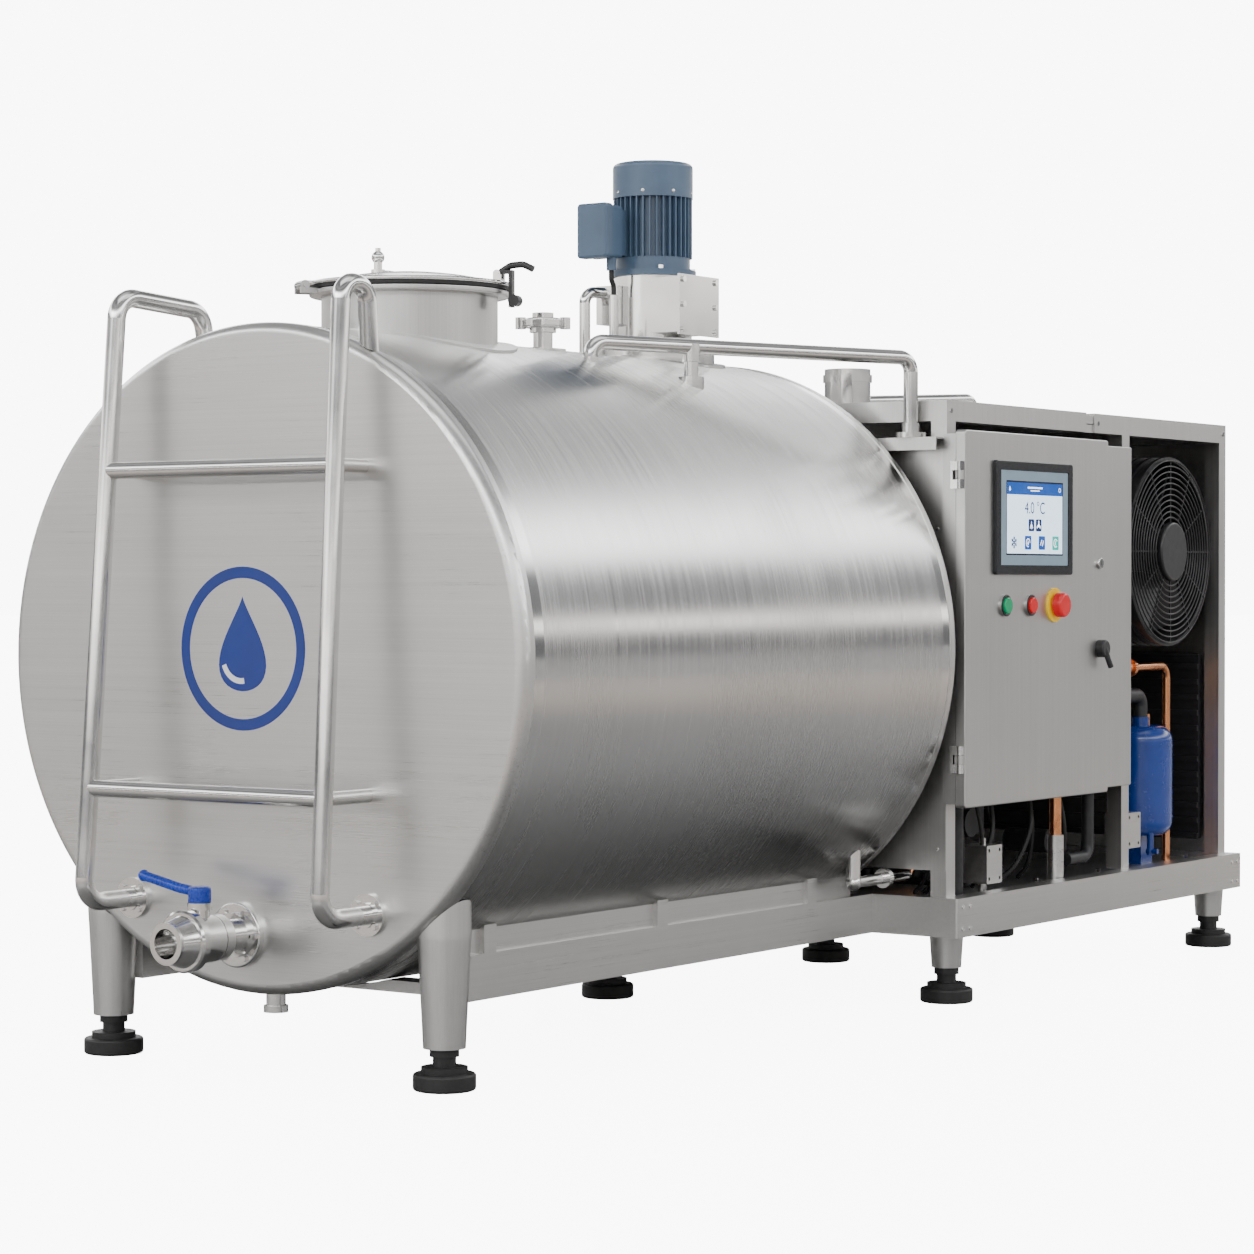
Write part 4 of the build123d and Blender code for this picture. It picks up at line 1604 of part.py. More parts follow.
def black_box():
    """Control box on the mid post, beside the receiver."""
    x = MID_POST_X + 48.0
    z = TRAY_TOP + 232.0
    return fillet(block(x, x + BOX_LENGTH, -560.0, -560.0 + BOX_WIDTH, z, z + BOX_HEIGHT).edges(), 6.0)


def pipe_sleeve():
    """Steel sleeve and bolted foot of the upright copper pipe."""
    x, y = UPRIGHT_AT
    sleeve = ring("Z", UPRIGHT_AT, UPRIGHT_RADIUS + 6, UPRIGHT_RADIUS, TRAY_TOP + 7, SLEEVE_TOP)
    foot = block(x - 40, x + 40, y - 22, y + 22, TRAY_TOP, TRAY_TOP + 8)
    return sleeve + foot


def rear_pipe():
    """Milk-side drain line from the tank's rear foot into the housing, with one clamp."""
    start = RAIL_START + TANK_LENGTH - 210.0
    end = min(HOUSING_START + 60.0, LOW_HOSE_X - LOW_HOSE_RADIUS - 20.0)
    clamp = HOUSING_START - 56.0
    pipe = rod("X", (REAR_PIPE_Y, REAR_PIPE_Z), REAR_PIPE_RADIUS, start, end)
    pipe += rod("X", (REAR_PIPE_Y, REAR_PIPE_Z), REAR_PIPE_RADIUS + 10, clamp, clamp + 16)
    pipe += Pos(start, REAR_PIPE_Y, REAR_PIPE_Z) * Sphere(REAR_PIPE_RADIUS + 6)
    pipe += rod("Z", (start, REAR_PIPE_Y), REAR_PIPE_RADIUS + 4, REAR_PIPE_Z, REAR_PIPE_Z + 80)
    return pipe - on_axis(TANK_RADIUS - SHELL_STEP, 0, TANK_LENGTH)


def roof_fittings():
    top = HOUSING_TOP + SHEET
    vent = ring("Z", VENT_AT, VENT_RADIUS, VENT_BORE, top, top + VENT_HEIGHT)
    vent += ring("Z", VENT_AT, VENT_RADIUS + 4, VENT_BORE, top + 62, top + 80)
    vent += ring("Z", VENT_AT, VENT_RADIUS + 10, VENT_BORE, top, top + 6)
    x = HOUSING_START + 330.0
    tube = bent_rod([(x, -120.0, top + 24), (x + 520, -200.0, top + 52), (x + 560, -206.0, top)], 15.0, 30.0)
    tube += rod("Z", (x + 8, -120.0), 22.0, top, top + 30)
    tube -= block(HOUSING_START, HOUSING_END, -HOUSING_HALF, HOUSING_HALF, 0, top)
    return vent, tube


def fasteners():
    bolts = []
    for side in (-1, 1):
        y = side * (MACHINE_HALF + 2)
        for x in (MACHINE_START + 26, MACHINE_START + 60, MACHINE_END - 60, MACHINE_END - 26):
            for z in (BASE_BOTTOM + 20, BASE_TOP - 20):
                bolts.append(rod("Y", (x, z), BOLT_RADIUS, min(y, y - side * 2), max(y, y - side * 2)))
        beam_y = side * (HOUSING_HALF + 2)
        for x in (HOUSING_START + 20, ROOF_SPLIT_X + ROOF_GAP + 18, HOUSING_END - 20):
            bolts.append(rod("Y", (x, HOUSING_TOP - 22), BOLT_RADIUS + 1, min(beam_y, beam_y - side * 2),
                             max(beam_y, beam_y - side * 2)))
    for x in TRAY_BOLTS_X:
        bolts.append(hexagon_bolt("Z", (x, -MACHINE_HALF + 90), TRAY_TOP, TRAY_TOP + 14))
    for index in range(3):
        for dx in (-1, 1):
            z = GEARBOX_BASE + 14 + index * 58
            bolts.append(rod("Y", (AGITATOR_X + dx * (GEARCASE_HALF - 10), z), 7.0,
                             -GEARCASE_REACH - COVER_THICK - 5, -GEARCASE_REACH - COVER_THICK))
    for angle in (45, 135, 225, 315):
        spot = polar((AGITATOR_X, 0.0), MOTOR_FLANGE_RADIUS - BOLT_RADIUS * 1.3, angle)
        bolts.append(hexagon_bolt("Z", spot, GEARBOX_TOP + MOTOR_FLANGE_THICK,
                                  GEARBOX_TOP + MOTOR_FLANGE_THICK + 8))
    return bolts


def build_machine():
    keep("fan_guard", fan_guard())
    keep("fan_shroud", fan_shroud())
    keep("condenser_fan", condenser_fan())
    keep("condenser_coil", *condenser_coil())
    keep("receiver", receiver())
    keep("compressor", compressor())
    keep("copper_pipes", *copper_pipes(), *brass_valves())
    keep("black_hoses", *black_hoses(), black_box())
    keep("valve_blocks", *valve_blocks(), pipe_sleeve())
    keep("rear_pipe", rear_pipe())
    keep("roof_fittings", *roof_fittings())
    keep("fasteners", *fasteners())


def build_all():
    build_tank()
    build_manhole()
    build_agitator()
    build_front()
    build_supports()
    build_housing()
    build_machine()


def export_all():
    os.makedirs("parts", exist_ok=True)
    shift = Pos(-ORIGIN[0], -ORIGIN[1], -ORIGIN[2])
    for name, solids in NODES.items():
        moved = [shift * solid for solid in solids]
        shape = moved[0] if len(moved) == 1 else Compound(children=moved)
        export_step(shape, os.path.join("parts", name + ".step"))


if __name__ == "__main__":
    build_all()
    export_all()
    print(len(NODES), "nodes")
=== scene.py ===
import math

import bmesh
import bpy
from bpy.props import FloatProperty, FloatVectorProperty, IntProperty, PointerProperty
from mathutils import Matrix, Vector


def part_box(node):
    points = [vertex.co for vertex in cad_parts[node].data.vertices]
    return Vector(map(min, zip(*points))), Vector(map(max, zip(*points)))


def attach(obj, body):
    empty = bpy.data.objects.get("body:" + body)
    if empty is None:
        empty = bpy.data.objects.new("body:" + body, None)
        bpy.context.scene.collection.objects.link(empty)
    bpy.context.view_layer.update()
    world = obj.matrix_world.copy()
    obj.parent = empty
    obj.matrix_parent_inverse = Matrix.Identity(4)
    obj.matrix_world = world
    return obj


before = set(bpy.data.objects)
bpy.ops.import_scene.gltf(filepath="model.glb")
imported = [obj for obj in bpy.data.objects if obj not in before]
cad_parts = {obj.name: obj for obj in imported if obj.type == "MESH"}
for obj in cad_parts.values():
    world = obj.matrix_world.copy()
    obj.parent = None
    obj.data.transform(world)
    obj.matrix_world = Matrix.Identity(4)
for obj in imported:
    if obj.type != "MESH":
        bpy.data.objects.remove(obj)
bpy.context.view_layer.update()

bl_info = {
    "name": "Bulk Milk Tank",
    "version": (1, 0, 0),
    "blender": (4, 5, 0),
    "location": "View3D > Sidebar > Milk Tank",
    "description": "Finishes and fine pieces of a bulk milk tank with its cooling machine",
    "category": "Object",
}


# ------------------------------------------------------------------ sizes and colours
class TankStageSettings(bpy.types.PropertyGroup):
    lens: FloatProperty(name="Lens", description="Focal length of the camera in millimetres", default=93.7)
    camera_place: FloatVectorProperty(
        name="Camera place", description="Where the camera stands", default=(-6.481, -4.338, 0.989),
        subtype="TRANSLATION", unit="LENGTH")
    yaw: FloatProperty(name="Yaw", description="Camera heading from +X towards +Y",
                       default=math.radians(34.87), subtype="ANGLE")
    pitch: FloatProperty(name="Pitch", description="Camera tilt, upwards positive",
                         default=math.radians(-0.8), subtype="ANGLE")
    floor_radius: FloatProperty(name="Floor radius", description="Half the size of the floor", default=90.0,
                                unit="LENGTH")
    floor_tone: FloatProperty(name="Floor tone", description="Brightness of the floor", default=0.95,
                              subtype="FACTOR")
    floor_lift: FloatProperty(name="Floor lift", description="Glow that brings the floor up to white",
                              default=9.0)
    backdrop: FloatProperty(name="Backdrop", description="Brightness of the white behind", default=9.0)


class TankFinishSettings(bpy.types.PropertyGroup):
    steel: FloatVectorProperty(name="Steel", description="Colour of the stainless steel",
                               default=(0.70, 0.695, 0.685), subtype="COLOR")
    enamel: FloatVectorProperty(name="Motor enamel", description="Blue-grey paint of the drive motor",
                                default=(0.072, 0.118, 0.185), subtype="COLOR")
    vessel_blue: FloatVectorProperty(name="Receiver blue", description="Paint of the refrigerant receiver",
                                     default=(0.003, 0.035, 0.23), subtype="COLOR")
    grip_blue: FloatVectorProperty(name="Lever blue", description="Sleeve of the outlet lever",
                                   default=(0.005, 0.035, 0.34), subtype="COLOR")
    emblem_size: FloatProperty(name="Emblem size", description="Radius of the ring on the head",
                               default=0.165, unit="LENGTH")
    copper: FloatVectorProperty(name="Copper", description="Bright copper pipe",
                                default=(0.83, 0.36, 0.17), subtype="COLOR")


# ------------------------------------------------------------------ node helpers
def new_group(name, inputs, outputs):
    """An empty shader group with named sockets and its input and output nodes."""
    tree = bpy.data.node_groups.new(name, "ShaderNodeTree")
    for label, kind, value in inputs:
        socket = tree.interface.new_socket(label, in_out="INPUT", socket_type=kind)
        if value is not None:
            socket.default_value = value
    for label, kind in outputs:
        tree.interface.new_socket(label, in_out="OUTPUT", socket_type=kind)
    entry = tree.nodes.new("NodeGroupInput")
    leave = tree.nodes.new("NodeGroupOutput")
    return tree, entry, leave


def add(tree, kind, **settings):
    node = tree.nodes.new(kind)
    for name, value in settings.items():
        setattr(node, name, value)
    return node


def math_node(tree, operation, first, second):
    node = add(tree, "ShaderNodeMath", operation=operation)
    for index, value in enumerate((first, second)):
        if isinstance(value, (int, float)):
            node.inputs[index].default_value = value
        else:
            tree.links.new(value, node.inputs[index])
    return node.outputs[0]


def spread(tree, value, low, high, to_low, to_high):
    """Map a value from one range to another, held at the ends."""
    node = add(tree, "ShaderNodeMapRange")
    tree.links.new(value, node.inputs["Value"])
    for label, number in (("From Min", low), ("From Max", high), ("To Min", to_low), ("To Max", to_high)):
        if isinstance(number, (int, float)):
            node.inputs[label].default_value = number
        else:
            tree.links.new(number, node.inputs[label])
    return node.outputs["Result"]


def noise(tree, vector, scale, detail=3.0, roughness=0.55):
    node = add(tree, "ShaderNodeTexNoise")
    node.inputs["Scale"].default_value = scale
    node.inputs["Detail"].default_value = detail
    node.inputs["Roughness"].default_value = roughness
    if vector is not None:
        tree.links.new(vector, node.inputs["Vector"])
    return node.outputs["Fac"]


def stretch(tree, vector, scale):
    node = add(tree, "ShaderNodeMapping")
    node.inputs["Scale"].default_value = scale
    tree.links.new(vector, node.inputs["Vector"])
    return node.outputs["Vector"]


# ------------------------------------------------------------------ shared effects
def brush_group():
    """Fine straight brushing: Grain for colour and roughness, Height for the bump."""
    name = "BrushedGrain"
    if name in bpy.data.node_groups:
        return bpy.data.node_groups[name]
    tree, entry, leave = new_group(
        name, [("Vector", "NodeSocketVector", None)],
        [("Grain", "NodeSocketFloat"), ("Height", "NodeSocketFloat"), ("Smudge", "NodeSocketFloat")])
    vector = entry.outputs["Vector"]
    fine = noise(tree, vector, 1.0, 2.0, 0.7)
    broad = noise(tree, vector, 0.13, 2.0, 0.6)
    both = math_node(tree, "ADD", math_node(tree, "MULTIPLY", fine, 0.65),
                     math_node(tree, "MULTIPLY", broad, 0.35))
    grain = spread(tree, both, 0.3, 0.7, 0.0, 1.0)
    coordinates = add(tree, "ShaderNodeTexCoord")
    smudge = spread(tree, noise(tree, coordinates.outputs["Object"], 2.6, 4.0, 0.6), 0.35, 0.7, 0.0, 1.0)
    tree.links.new(grain, leave.inputs["Grain"])
    tree.links.new(both, leave.inputs["Height"])
    tree.links.new(smudge, leave.inputs["Smudge"])
    return tree


def dust_group():
    """A soft mask of dust on faces that look upwards, broken by noise."""
    name = "SettledDust"
    if name in bpy.data.node_groups:
        return bpy.data.node_groups[name]
    tree, entry, leave = new_group(name, [("Amount", "NodeSocketFloat", 0.3)],
                                   [("Mask", "NodeSocketFloat"), ("Mottle", "NodeSocketFloat")])
    geometry = add(tree, "ShaderNodeNewGeometry")
    split = add(tree, "ShaderNodeSeparateXYZ")
    tree.links.new(geometry.outputs["Normal"], split.inputs[0])
    up = spread(tree, split.outputs["Z"], 0.35, 1.0, 0.0, 1.0)
    coordinates = add(tree, "ShaderNodeTexCoord")
    mottle = noise(tree, coordinates.outputs["Object"], 38.0, 4.0, 0.65)
    patch = spread(tree, mottle, 0.4, 0.75, 0.2, 1.0)
    mask = math_node(tree, "MULTIPLY", math_node(tree, "MULTIPLY", up, patch), entry.outputs["Amount"])
    tree.links.new(mask, leave.inputs["Mask"])
    tree.links.new(mottle, leave.inputs["Mottle"])
    return tree


def place_group(tree, group):
    node = tree.nodes.new("ShaderNodeGroup")
    node.node_tree = group
    return node


def start_material(name):
    material = bpy.data.materials.new(name)
    material.use_nodes = True
    tree = material.node_tree
    shader = tree.nodes["Principled BSDF"]
    return material, tree, shader


def mix_colour(tree, factor, first, second):
    node = add(tree, "ShaderNodeMix", data_type="RGBA")
    if isinstance(factor, (int, float)):
        node.inputs["Factor"].default_value = factor
    else:
        tree.links.new(factor, node.inputs["Factor"])
    for label, value in ((6, first), (7, second)):
        if isinstance(value, (tuple, list)):
            node.inputs[label].default_value = (*value[:3], 1.0)
        else:
            tree.links.new(value, node.inputs[label])
    return node.outputs[2]


def add_bump(tree, shader, height, strength, distance):
    bump = add(tree, "ShaderNodeBump")
    bump.inputs["Strength"].default_value = strength
    bump.inputs["Distance"].default_value = distance
    tree.links.new(height, bump.inputs["Height"])
    tree.links.new(bump.outputs["Normal"], shader.inputs["Normal"])


def scaled(colour, factor):
    return tuple(min(1.0, channel * factor) for channel in colour[:3])


# ------------------------------------------------------------------ materials
def brushed_steel(name, colour, grain_scale, low_rough, high_rough, strength=0.12):
    """Brushed stainless: grain_scale is lines per metre along each axis, low where the lines run."""
    material, tree, shader = start_material(name)
    coordinates = add(tree, "ShaderNodeTexCoord")
    vector = stretch(tree, coordinates.outputs["Object"], grain_scale)
    grain = place_group(tree, brush_group())
    tree.links.new(vector, grain.inputs["Vector"])
    base = mix_colour(tree, grain.outputs["Grain"], scaled(colour, 0.90), scaled(colour, 1.06))
    cloud = spread(tree, grain.outputs["Smudge"], 0.0, 1.0, 0.0, 0.16)
    tinted = mix_colour(tree, cloud, base, scaled(colour, 0.8))
    tree.links.new(tinted, shader.inputs["Base Color"])
    rough = spread(tree, grain.outputs["Grain"], 0.0, 1.0, low_rough, high_rough)
    lift = spread(tree, grain.outputs["Smudge"], 0.0, 1.0, -0.02, 0.05)
    tree.links.new(math_node(tree, "ADD", rough, lift), shader.inputs["Roughness"])
    shader.inputs["Metallic"].default_value = 1.0
    add_bump(tree, shader, grain.outputs["Height"], strength, 0.0004)
    return material


def barrel_steel(name, colour):
    """Barrel sheet brushed round its girth, with a smoother rolled band at each end."""
    material = brushed_steel(name, colour, LINES_ROUND, 0.17, 0.30, 0.10)
    tree = material.node_tree
    shader = tree.nodes["Principled BSDF"]
    low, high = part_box("outer_shell")
    coordinates = add(tree, "ShaderNodeTexCoord")
    split = add(tree, "ShaderNodeSeparateXYZ")
    tree.links.new(coordinates.outputs["Object"], split.inputs[0])
    along = split.outputs["X"]
    front = spread(tree, along, low.x + BAND_WIDTH, low.x + BAND_WIDTH + 0.002, 1.0, 0.0)
    back = spread(tree, along, high.x - BAND_WIDTH - 0.002, high.x - BAND_WIDTH, 0.0, 1.0)
    band = math_node(tree, "MAXIMUM", front, back)
    rough = shader.inputs["Roughness"].links[0].from_socket
    tree.links.new(mix_value(tree, band, rough, 0.13), shader.inputs["Roughness"])
    geometry = add(tree, "ShaderNodeNewGeometry")
    girth = add(tree, "ShaderNodeVectorMath", operation="CROSS_PRODUCT")
    tree.links.new(geometry.outputs["Normal"], girth.inputs[0])
    girth.inputs[1].default_value = (1.0, 0.0, 0.0)
    tree.links.new(girth.outputs["Vector"], shader.inputs["Tangent"])
    shader.inputs["Anisotropic"].default_value = 0.75
    shader.inputs["Anisotropic Rotation"].default_value = 0.25
    return material


def mix_value(tree, factor, first, second):
    node = add(tree, "ShaderNodeMix", data_type="FLOAT")
    tree.links.new(factor, node.inputs["Factor"])
    for index, value in ((2, first), (3, second)):
        if isinstance(value, (int, float)):
            node.inputs[index].default_value = value
        else:
            tree.links.new(value, node.inputs[index])
    return node.outputs[0]


def polished_steel(name, colour, rough=0.14):
    material, tree, shader = start_material(name)
    coordinates = add(tree, "ShaderNodeTexCoord")
    fine = noise(tree, coordinates.outputs["Object"], 160.0, 3.0, 0.6)
    broad = noise(tree, coordinates.outputs["Object"], 7.0, 3.0, 0.6)
    tint = mix_colour(tree, spread(tree, broad, 0.3, 0.7, 0.0, 1.0), scaled(colour, 0.93),
                      scaled(colour, 1.06))
    tree.links.new(tint, shader.inputs["Base Color"])
    tree.links.new(spread(tree, broad, 0.3, 0.7, rough * 0.75, rough * 1.5), shader.inputs["Roughness"])
    shader.inputs["Metallic"].default_value = 1.0
    add_bump(tree, shader, fine, 0.012, 0.0002)
    return material


PALE_DUST = (0.42, 0.42, 0.41)
GREY_DUST = (0.30, 0.29, 0.28)
COAT_ROUGHNESS = 0.12


def enamel(name, colour, rough=0.32, orange_peel=0.08, coat=0.35, dust=0.15):
    """Sprayed paint with slight orange peel and a little dust on top."""
    material, tree, shader = start_material(name)
    coordinates = add(tree, "ShaderNodeTexCoord")
    peel = noise(tree, coordinates.outputs["Object"], 420.0, 2.0, 0.5)
    dusting = place_group(tree, dust_group())
    dusting.inputs["Amount"].default_value = dust
    cloud = noise(tree, coordinates.outputs["Object"], 9.0, 3.0, 0.55)
    base = mix_colour(tree, spread(tree, cloud, 0.3, 0.7, 0.0, 1.0), scaled(colour, 0.9), scaled(colour, 1.1))
    dusty = mix_colour(tree, dusting.outputs["Mask"], base, PALE_DUST)
    tree.links.new(dusty, shader.inputs["Base Color"])
    tree.links.new(spread(tree, dusting.outputs["Mottle"], 0.3, 0.7, rough * 0.85, rough * 1.2),
                   shader.inputs["Roughness"])
    shader.inputs["Coat Weight"].default_value = coat
    shader.inputs["Coat Roughness"].default_value = COAT_ROUGHNESS
    add_bump(tree, shader, peel, orange_peel, 0.0004)
    return material


def moulded(name, colour, rough=0.5, texture=260.0, strength=0.12, dust=0.2):
    """Moulded plastic or rubber with a fine pebble texture."""
    material, tree, shader = start_material(name)
    coordinates = add(tree, "ShaderNodeTexCoord")
    pebble = noise(tree, coordinates.outputs["Object"], texture, 3.0, 0.6)
    dusting = place_group(tree, dust_group())
    dusting.inputs["Amount"].default_value = dust
    base = mix_colour(tree, spread(tree, dusting.outputs["Mottle"], 0.3, 0.7, 0.0, 1.0),
                      scaled(colour, 0.8), scaled(colour, 1.25))
    dusty = mix_colour(tree, dusting.outputs["Mask"], base, GREY_DUST)
    tree.links.new(dusty, shader.inputs["Base Color"])
    tree.links.new(spread(tree, pebble, 0.3, 0.7, rough * 0.85, rough * 1.15), shader.inputs["Roughness"])
    add_bump(tree, shader, pebble, strength, 0.0005)
    return material


def bright_metal(name, colour, rough, patina):
    """Copper, brass or bare machine steel with a darker patina in patches."""
    material, tree, shader = start_material(name)
    coordinates = add(tree, "ShaderNodeTexCoord")
    cloud = noise(tree, coordinates.outputs["Object"], 22.0, 5.0, 0.6)
    base = mix_colour(tree, spread(tree, cloud, 0.45, 0.75, 0.0, 0.8), colour, patina)
    tree.links.new(base, shader.inputs["Base Color"])
    tree.links.new(spread(tree, cloud, 0.3, 0.7, rough * 0.8, rough * 1.5), shader.inputs["Roughness"])
    shader.inputs["Metallic"].default_value = 1.0
    fine = noise(tree, coordinates.outputs["Object"], 300.0, 2.0, 0.5)
    add_bump(tree, shader, fine, 0.05, 0.0003)
    return material


def lit_plastic(name, colour, glow):
    """A gloss plastic; glow above zero makes a lit part of the display, and gives the push buttons a faint
    painted glow.
    """
    material, tree, shader = start_material(name)
    coordinates = add(tree, "ShaderNodeTexCoord")
    cloud = noise(tree, coordinates.outputs["Object"], 30.0, 2.0, 0.5)
    base = mix_colour(tree, cloud, scaled(colour, 0.94), scaled(colour, 1.05))
    tree.links.new(base, shader.inputs["Base Color"])
    tree.links.new(spread(tree, cloud, 0.3, 0.7, 0.16, 0.26), shader.inputs["Roughness"])
    if glow > 0:
        tree.links.new(base, shader.inputs["Emission Color"])
        shader.inputs["Emission Strength"].default_value = glow
    return material


def foam_material():
    material, tree, shader = start_material("InsulatingFoam")
    coordinates = add(tree, "ShaderNodeTexCoord")
    cells = noise(tree, coordinates.outputs["Object"], 180.0, 4.0, 0.7)
    tint = mix_colour(tree, cells, (0.62, 0.52, 0.30), (0.80, 0.71, 0.46))
    tree.links.new(tint, shader.inputs["Base Color"])
    shader.inputs["Roughness"].default_value = 0.9
    add_bump(tree, shader, cells, 0.4, 0.001)
    return material


LAYER = 0.00012
LINES_X = (3.0, 900.0, 900.0)
LINES_ROUND = (620.0, 3.0, 3.0)
BAND_WIDTH = 0.03
LINES_Y = (900.0, 3.0, 900.0)
LINES_Z = (900.0, 900.0, 3.0)
FINISH = {}


def make_finishes(settings):
    steel = tuple(settings.steel)
    FINISH["shell"] = barrel_steel("BrushedBarrel", scaled(steel, 0.96))
    FINISH["head"] = brushed_steel("BrushedHead", scaled(steel, 1.02), LINES_Y, 0.26, 0.36)
    FINISH["upright"] = brushed_steel("BrushedUpright", scaled(steel, 0.93), LINES_Z, 0.27, 0.40)
    FINISH["level"] = brushed_steel("BrushedLevel", scaled(steel, 0.93), LINES_X, 0.25, 0.38)
    FINISH["door"] = brushed_steel("BrushedDoor", scaled(steel, 0.84), LINES_Z, 0.30, 0.42)
    FINISH["polished"] = polished_steel("PolishedSteel", scaled(steel, 1.05), 0.13)
    FINISH["chrome"] = polished_steel("BrightSteel", scaled(steel, 1.12), 0.07)
    FINISH["band"] = polished_steel("PolishedBand", scaled(steel, 1.08), 0.16)
    FINISH["enamel"] = enamel("MotorEnamel", tuple(settings.enamel), 0.36, 0.05, 0.12, 0.02)
    FINISH["blue_paint"] = enamel("ReceiverPaint", tuple(settings.vessel_blue), 0.24, 0.04, 0.4, 0.02)
    FINISH["black_paint"] = enamel("BlackPaint", (0.012, 0.012, 0.014), 0.36, 0.08, 0.15, 0.05)
    FINISH["grip"] = moulded("LeverSleeve", tuple(settings.grip_blue), 0.28, 200.0, 0.05, 0.02)
    FINISH["black_plastic"] = moulded("BlackPlastic", (0.014, 0.014, 0.016), 0.38, 260.0, 0.08, 0.04)
    FINISH["rubber"] = moulded("BlackRubber", (0.012, 0.012, 0.012), 0.52, 320.0, 0.15, 0.06)
    FINISH["hose"] = moulded("FoamSleeve", (0.016, 0.017, 0.019), 0.46, 500.0, 0.18, 0.05)
    FINISH["copper"] = bright_metal("BrightCopper", tuple(settings.copper), 0.20, (0.52, 0.21, 0.10))
    FINISH["machine"] = bright_metal("MachineSteel", (0.42, 0.42, 0.43), 0.34, (0.24, 0.23, 0.22))
    # painted glow: the start, stop and emergency stop buttons are no lamps, yet glow faintly
    FINISH["green"] = lit_plastic("GreenButton", (0.0, 0.28, 0.11), 0.12)
    FINISH["red"] = lit_plastic("RedButton", (0.62, 0.012, 0.015), 0.10)
    FINISH["yellow"] = lit_plastic("YellowRing", (0.93, 0.60, 0.01), 0.0)
    FINISH["bezel"] = moulded("ScreenBezel", (0.010, 0.011, 0.013), 0.22, 300.0, 0.03, 0.0)
    FINISH["switchgear"] = moulded("Switchgear", (0.55, 0.56, 0.57), 0.5, 260.0, 0.1, 0.0)
    FINISH["foam"] = foam_material()
    FINISH["screen_border"] = lit_plastic("ScreenBorder", (0.20, 0.27, 0.33), 0.25)
    FINISH["screen_mask"] = lit_plastic("ScreenMask", (0.004, 0.008, 0.03), 0.0)
    FINISH["screen_page"] = lit_plastic("ScreenPage", (0.62, 0.76, 0.92), 1.6)
    FINISH["screen_blue"] = lit_plastic("ScreenBlue", (0.004, 0.06, 0.30), 0.9)
    FINISH["screen_navy"] = lit_plastic("ScreenNavy", (0.003, 0.022, 0.12), 0.5)
    FINISH["screen_teal"] = lit_plastic("ScreenTeal", (0.0, 0.36, 0.29), 1.0)
    FINISH["screen_white"] = lit_plastic("ScreenWhite", (0.85, 0.9, 0.95), 1.8)
    FINISH["emblem_blue"] = enamel("EmblemBlue", (0.004, 0.025, 0.20), 0.35, 0.03, 0.2, 0.0)
    FINISH["emblem_white"] = enamel("EmblemWhite", (0.75, 0.75, 0.75), 0.35, 0.03, 0.2, 0.0)


NODE_FINISH = {
    "shell": ("outer_shell", "inner_vessel", "evaporator_plate"),
    "head": ("front_head", "rear_head"),
    "upright": ("housing_frame", "manhole_neck", "legs", "front_cover"),
    "level": ("tank_rails", "saddles", "base_frame", "housing_panels", "valve_blocks"),
    "door": ("cabinet_door", "side_door", "cabinet_body"),
    "polished": ("wash_pipe", "ladder_rails", "ladder_rungs", "outlet_pipe", "valve_body", "agitator_mount",
                 "gearbox_housing", "roof_fittings", "rear_pipe", "manhole_lid", "breather"),
    "chrome": ("valve_disc", "agitator_shaft", "door_hinges", "cam_lock", "fasteners"),
    "enamel": ("motor_housing", "motor_cowl", "terminal_box"),
    "blue_paint": ("receiver",),
    "black_paint": ("manhole_latch", "fan_guard", "condenser_fan", "condenser_coil", "compressor"),
    "grip": ("valve_lever",),
    "black_plastic": ("fan_shroud", "door_latch"),
    "rubber": ("levelling_feet", "manhole_gasket", "motor_cable"),
    "hose": ("black_hoses",),
    "copper": ("copper_pipes",),
    "machine": ("agitator_bearings", "layshaft", "motor_rotor"),
    "green": ("start_button",),
    "red": ("stop_button", "emergency_stop"),
    "yellow": ("stop_ring",),
    "bezel": ("screen_unit",),
    "switchgear": ("cabinet_electrics",),
    "foam": ("insulation",),
}


def finish_node(name, material):
    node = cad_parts[name]
    if not node.material_slots:
        node.data.materials.append(material)
    for place in node.material_slots:
        place.material = material


# ------------------------------------------------------------------ mesh helpers
def mesh_piece(name, bm, material, body, smooth=True):
    """Turn a bmesh into a finished piece that rides on a body."""
    mesh = bpy.data.meshes.new(name)
    bm.normal_update()
    bm.to_mesh(mesh)
    bm.free()
    for polygon in mesh.polygons:
        polygon.use_smooth = smooth
    piece = bpy.data.objects.new(name, mesh)
    bpy.context.scene.collection.objects.link(piece)
    mesh.materials.append(material)
    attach(piece, body)
    return piece


def prism(bm, outline, frame_of, low, high):
    """Raise a flat outline (u, v) into a thin prism; frame_of turns (u, v, w) into a point."""
    bottom = [bm.verts.new(frame_of(u, v, low)) for u, v in outline]
    top = [bm.verts.new(frame_of(u, v, high)) for u, v in outline]
    bm.faces.new(bottom)
    bm.faces.new(list(reversed(top)))
    count = len(outline)
    for index in range(count):
        after = (index + 1) % count
        bm.faces.new((bottom[after], bottom[index], top[index], top[after]))


def flat_piece(name, outlines, frame_of, low, high, material, body, slot):
    bm = bmesh.new()
    for outline in outlines:
        prism(bm, outline, frame_of, low, high)
    bmesh.ops.recalc_face_normals(bm, faces=bm.faces)
    return mesh_piece(name, bm, material, body, smooth=False)


def rounded(u0, u1, v0, v1, radius, steps=5):
    """Outline of a rectangle with rounded corners."""
    points = []
    corners = ((u1 - radius, v1 - radius, 0), (u0 + radius, v1 - radius, 90),
               (u0 + radius, v0 + radius, 180), (u1 - radius, v0 + radius, 270))
    for u, v, start in corners:
        for step in range(steps + 1):
            angle = math.radians(start + 90 * step / steps)
            points.append((u + radius * math.cos(angle), v + radius * math.sin(angle)))
    return points


